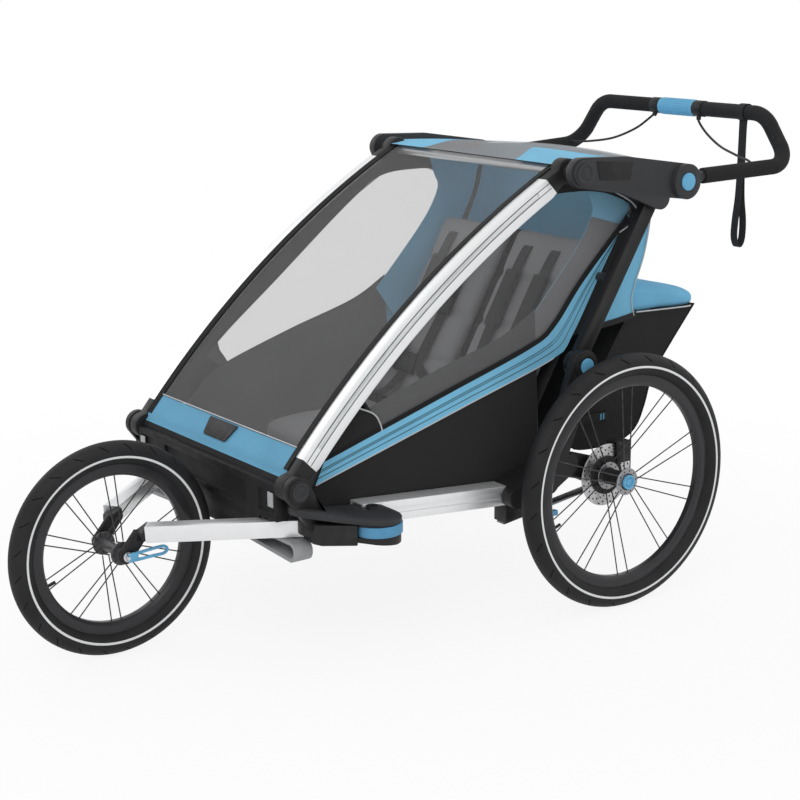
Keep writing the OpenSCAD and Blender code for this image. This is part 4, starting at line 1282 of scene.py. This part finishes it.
# Cargo bag: a lofted shell that sags, with a stuffed lid
bag_section = smooth_path([(133, 538), (66, 440), (-4, 326), (-15, 302), (-6, 284), (32, 277), (92, 277),
                           (134, 285), (164, 306), (184, 348), (204, 404), (250, 462), (316, 538)], 6)
bag_line = even_path([(y, z, 0) for y, z in bag_section], 56)
BAG_HALF = 224.0
BAG_RIM = 538.0
BAG_DEPTH = 290.0
REAR_FROM = 33
REAR_STEPS = 22
bag_rows = []
for number, p in enumerate(bag_line):
    slack = 6.0 * math.sin(math.pi * clamped((BAG_RIM - p.y) / BAG_DEPTH))
    behind = clamped((number - REAR_FROM) / REAR_STEPS)
    belly = 13.0 * math.sin(math.pi * behind)
    row = []
    for x in steps(-BAG_HALF, BAG_HALF, 40):
        share = 1 - (x / BAG_HALF) ** 2
        crease = 1.6 * math.sin(x / 31 + 5 * behind) * math.sin(math.pi * behind) * share
        out = belly * share ** 0.6 + crease
        row.append((x, p.x + 0.84 * out, p.y - slack * share * 0.4 - 0.54 * out))
    bag_rows.append(row)
bag = sewn("bag_shell", bag_rows, "frame", black_cloth,
           "cargo_bag", thickness=2.0)
for side, sign in SIDES:
    bag_edge = [(sign * BAG_HALF, p.x, p.y) for p in bag_line]
    front_edge = even_path(bag_edge[:20], 24)
    rear_edge = even_path(bag_edge[:18:-1], 24)
    cheek_rows = ruled(front_edge, rear_edge, 24, 12, lambda i, t: sign * -4.0 * math.sin(math.pi * t))
    sewn("bag_cheek_" + side, cheek_rows, "frame", black_cloth, thickness=1.6)
    tube("bag_seam_" + side, bag_edge, 2.0, binding, "frame")

# The lid pad's lighter blue is painted light.
pad("lid_pad", (464, 198, 34), (0, 224, 552), math.atan2(-6, 190), 14, 6, painted_lit_lid_cloth,
    "bag_lid", (), 26)
rim_side = [(229, 140, 541), (231, 200, 539), (230, 285, 536), (222, 308, 535), (200, 320, 535)]
rim_line = [(-x, y, z) for x, y, z in rim_side] + [(0, 322, 535)] + rim_side[::-1]
tube("lid_piping", smooth_path(rim_line, 8), 1.4, piping_cord, "frame")
for side, sign in SIDES:
    strap("bag_tab_" + side, [(sign * 225, y, 338) for y in steps(8, 86, 8)], 16, 2.4, (0, 0, 1))
    for number, y in enumerate((64, 71)):
        soft_block("bag_tab_bar_%s_%d" % (side, number), (2.4, 3.6, 13), (sign * 226.6, y, 338), 0, 1.0,
                   "frame", blue_cloth)

# Side gussets between the band and the back panel, behind the struts
gusset_front = smooth_path([(-40, 520), (40, 650), (118, 770), (128, 836)], 6)
gusset_rear = smooth_path(back_side, 6)
gusset_foot = smooth_path([(255, 2, 530), (254, 40, 532), (250, 90, 536), (245, 136, 541)], 4)
window_loop = smooth_path([(61, 790), (102, 769), (121, 748), (116, 731), (95, 720), (75, 711)], 6)
for side, sign in SIDES:
    hem = strap("gusset_hem_" + side, [(sign * x, y, z) for x, y, z in gusset_foot], 11, 1.8, (0, -0.05, 1))
    gusset_rows = ruled(at_side(sign, 251.0, gusset_front), at_side(sign, BACK_HALF - 1.0, gusset_rear),
                        31, 10, lambda i, t: sign * 4.0 * math.sin(math.pi * t))
    # The gusset takes the lighter blue: painted light.
    gusset = sewn("gusset_" + side, gusset_rows, "frame", [painted_lit_cloth, binding],
                  paint=lambda row, column: 1 if row < 4 else 0)
    edge = [(y + 1.5, z) for y, z in gusset_rear]
    piping = tube("gusset_piping_" + side, at_side(sign, BACK_HALF + 1.2, edge), 1.2, piping_cord, "frame")
    loop = tube("window_loop_" + side, at_side(sign, 258.0, window_loop), 1.3, piping_cord, "frame")
    for piece in (gusset, hem, piping, loop):
        crumple(piece)


# Caps and plates
def pivot_cap(name, x, y, z, radius, sign, body, material, depth=3.0, stands_for=()):
    """A turned cap with a rim and a dished middle, on a side face."""
    cap = shape(bpy.ops.mesh.primitive_cylinder_add, name, vertices=48, radius=radius / 1000,
                depth=depth / 1000, location=place(sign * (x + depth / 2), y, z),
                rotation=(0, math.pi / 2, 0))
    pick(cap, lambda face: sign * face.normal.x > 0.9)
    for inset, sink in ((0.26, 0.0), (0.05, -0.55), (0.12, 0.0), (0.06, 0.25)):
        bpy.ops.mesh.inset(thickness=radius * inset / 1000, depth=depth * sink / 1000)
    object_mode()
    round_edges(cap, 0.6)
    return finish(cap, body, material, stands_for)


def plate(name, corners, x, sign, thick, material, body):
    """A thin bare plate on a side face, from its corners in y and z."""
    piece = flat_shape(name, at_side(sign, x, corners))
    extrude(sign * thick, 0, 0)
    turn_outwards()
    object_mode()
    round_edges(piece, 1.0, 3)
    return finish(piece, body, material)


for side, sign in SIDES:
    pivot_cap("pillar_cap_" + side, 330.6, TOP.x, TOP.y, 20.0, sign, "consoles", dark)
    pivot_cap("foot_cap_" + side, KNUCKLE_OUT + 5.6, FOOT.x, FOOT.y, 16.5, sign, "frame", dark, 2.4)
    pivot_cap("axle_cap_%s_shell" % side, 376.2, 0, REAR_R, 14.0, sign, "axle_cap_" + side, blue_part, 6.6,
              "axle_cap_" + side)
    plate("console_plate_" + side, [(-46, 862), (44, 855), (38, 820), (-38, 826)], 323.6, sign, 1.6, black,
          "consoles")

# Harness: flat webbing, shoulder pads and a buckle for each seat
shoulder_path = smooth_path([(2, 385), (-5, 372), (-9, 330), (-11, 260), (-12, 180), (-13, 120),
                             (-12, 92)], 4)
hip_path = smooth_path([(108, -2, 44), (96, -8, 52), (60, -13, 72), (34, -14, 84)], 4)
crotch_path = smooth_path([(-13, 66), (-20, 40), (-32, 16), (-52, -1), (-66, -4)], 4)
for side, sign in SIDES:
    seat_x = sign * SEAT_X
    for number, offset in enumerate((-42, 42)):
        x = seat_x + offset
        line = [on_back(x + (seat_x - x) * 0.35 * max(0.0, 1 - z / 200), y, z) for y, z in shoulder_path]
        slump(strap("shoulder_web_%s_%d" % (side, number), line, 26, 1.8, (1, 0, 0),
                    stands_for="harness"))
        cushion = soft_block("shoulder_pad_%s_%d" % (side, number), (40, 12, 124), on_back(x, -12, 262),
                             -LEAN, 5.5, "frame", black_cloth)
        slump(cushion)
        line = [on_back(seat_x + math.copysign(a, offset), b, c) for a, b, c in hip_path]
        slump(strap("hip_web_%s_%d" % (side, number), line, 24, 1.8, (0, 0.5, 0.85)))
    soft_block("buckle_" + side, (62, 14, 44), on_back(seat_x, -13, 84), -LEAN, 5, "frame",
               black)
    soft_block("buckle_press_" + side, (22, 3, 22), on_back(seat_x, -20.5, 84), -LEAN, 1.4, "frame",
               dark)
    line = [on_back(seat_x, y, z) for y, z in crotch_path]
    slump(strap("crotch_web_" + side, line, 24, 1.8, (1, 0, 0)))

# Brake sleeve: a turned grip with ribs along it
sleeve_profile = [(-51, 16.4), (-50, 17.4), (-46, 18), (46, 18), (50, 17.4), (51, 16.4)]
sleeve = turned("brake_sleeve_shell", 1, 0, BAR_Y, BAR_Z, sleeve_profile, 48)
bar_axis = place(0, BAR_Y, BAR_Z)
bore_faces(sleeve, lambda face: abs(face.center.x) < 0.001 and around(face, bar_axis, 48) % 2 == 0, 0.3,
           0.7, 0)
round_edges(sleeve, 0)
finish(sleeve, "brake_sleeve", sleeve_blue, "brake_sleeve")

# Quick-release lever: a bent loop on its pivot block
LEVER_X = 67.0
lever_outline = smooth_path([(2, 5), (20, 6.5), (48, 8.5), (66, 9), (73, 5.5), (74.5, 1.5), (72, -2.5),
                             (64, -5), (46, -5), (20, -6), (2, -5.5)], 6)
tube("quick_lever_loop", [(LEVER_X, FRONT_Y + y, FRONT_R + z) for y, z in lever_outline], 2.9, blue_part,
     "quick_lever", stands_for="quick_lever")
soft_block("quick_lever_base", (8.4, 19, 17), (LEVER_X, FRONT_Y + 7, FRONT_R), 0, 3.0, "quick_lever",
           blue_part)

# Chin under the front panel, with its reflectors
chin_line = smooth_path([(-711, 280, 196), (-706, 262, 188), (-700, 247, 182), (-695, 232, 174),
                         (-693, 217, 162), (-686, 211, 101), (-668, 208, 100), (-640, 206, 100),
                         (-618, 214, 100), (-604, 238, 100)], 4)
chin_rows = [[(x, y, z) for x in steps(-half, half, 36)] for y, z, half in chin_line]
chin = cloth_sheet("front_chin", chin_rows, None, 3.0)[0]
finish(chin, "frame", panel_black)
for side, sign in SIDES:
    soft_block("front_reflector_" + side, (17, 3.0, 27), (sign * 238, -714.4, 314), 0, 1.2, "frame",
               pale_lens)

# Spring knobs, valve stems and bag reflectors
for side, sign in SIDES:
    on_leaf(soft_block("spring_knob_" + side, (12, 20, 11), (sign * 284, -108, 185), 0, 3.0, None,
                       blue_part))
    soft_block("bag_reflector_" + side, (52, 4, 24), (sign * 176, 278, 482.5), math.radians(-41), 1.6,
               "frame", red_lens)
VALVE_TURN = math.atan2(-60, -175)
VALVE_FROM = 78
VALVE_TO = 42
for pattern, x, y, r, body in WHEELS:
    ends = (r - VALVE_FROM, r - VALVE_TO)
    stem = [(x, y + k * math.cos(VALVE_TURN), r + k * math.sin(VALVE_TURN)) for k in ends]
    tube(pattern % "valve", stem, 3.0, black, body)

# Wrist strap: a loop of webbing that hangs from a wrap round the grip
STRAP_X = 191.0
WRAP_R = 17.2
WEB_WIDE = 18
WEB_THICK = 1.6
wrap_turns = [math.radians(turn) for turn in steps(-60, 240, 24)]
wrap = [(STRAP_X, BAR_Y + WRAP_R * math.cos(turn), BAR_Z + WRAP_R * math.sin(turn)) for turn in wrap_turns]
fall = smooth_path([(474, 902), (474, 888), (472, 800), (469, 740), (462, 690), (461, 655), (471, 636),
                    (483, 650), (485, 690), (478, 740), (476, 800), (477, 888), (481, 902)], 5)
strap("wrist_loop", at_side(1, STRAP_X, fall), WEB_WIDE, WEB_THICK, (1, 0, 0),
      "handlebar",
      stands_for="wrist_strap")
strap("wrist_wrap", wrap, WEB_WIDE, WEB_THICK, (1, 0, 0), "handlebar")


# Light and floor
def seen_rays(tree):
    """1 for rays that bring a surface into the picture: straight, by gloss or through a material."""
    path = tree.nodes.new("ShaderNodeLightPath").outputs
    direct = calc(tree, "MAXIMUM", path["Is Camera Ray"], path["Is Glossy Ray"])
    return calc(tree, "MAXIMUM", direct, path["Is Transmission Ray"])


scene.view_settings.view_transform = "Standard"
world = bpy.data.worlds.new("studio")
scene.world = world
world.use_nodes = True
sky = world.node_tree
dress(sky, sky.nodes["Background"], {"Color": (1.0, 1.0, 1.0),
                                     "Strength": calc(sky, "MULTIPLY_ADD", seen_rays(sky), 0.28, 0.72)})

bpy.ops.object.select_all(action="DESELECT")
bpy.ops.mesh.primitive_plane_add(size=120, location=(0, 0, -0.0005))
floor = bpy.context.object
floor.name = "floor"
floor_paint, ground, matt, where = blank("pale_floor")
dress(ground, matt, {"Base Color": (0.9, 0.9, 0.9), "Roughness": 0.9})
glow = ground.nodes.new("ShaderNodeEmission")
mixer = ground.nodes.new("ShaderNodeMixShader")
away = ground.nodes.new("ShaderNodeVectorMath")
away.operation = "LENGTH"
ground.links.new(where["Object"], away.inputs[0])
clear_share = ramp(ground, away.outputs["Value"], 0.8, 1.9, 0.88, 1.0)
dress(ground, mixer, {0: calc(ground, "MULTIPLY", seen_rays(ground), clear_share), 1: matt.outputs[0],
                      2: glow.outputs[0]})
ground.links.new(mixer.outputs[0], ground.nodes["Material Output"].inputs["Surface"])
floor.data.materials.append(floor_paint)

LAMP_AIM = Vector((0, 0, 0.4))
for name, spot_at, size, power in (("key", (2.6, -2.6, 3.4), 2.4, 46.0),
                                   ("fill", (-3.2, -1.2, 2.4), 2.6, 16.0),
                                   ("back", (0.6, 3.4, 2.8), 2.4, 18.0)):
    lamp_data = bpy.data.lights.new(name, "AREA")
    lamp_data.shape = "DISK"
    lamp_data.size = size
    lamp_data.energy = power
    lamp = bpy.data.objects.new(name, lamp_data)
    scene.collection.objects.link(lamp)
    lamp.location = spot_at
    lamp.rotation_euler = (LAMP_AIM - Vector(spot_at)).to_track_quat("-Z", "Y").to_euler()
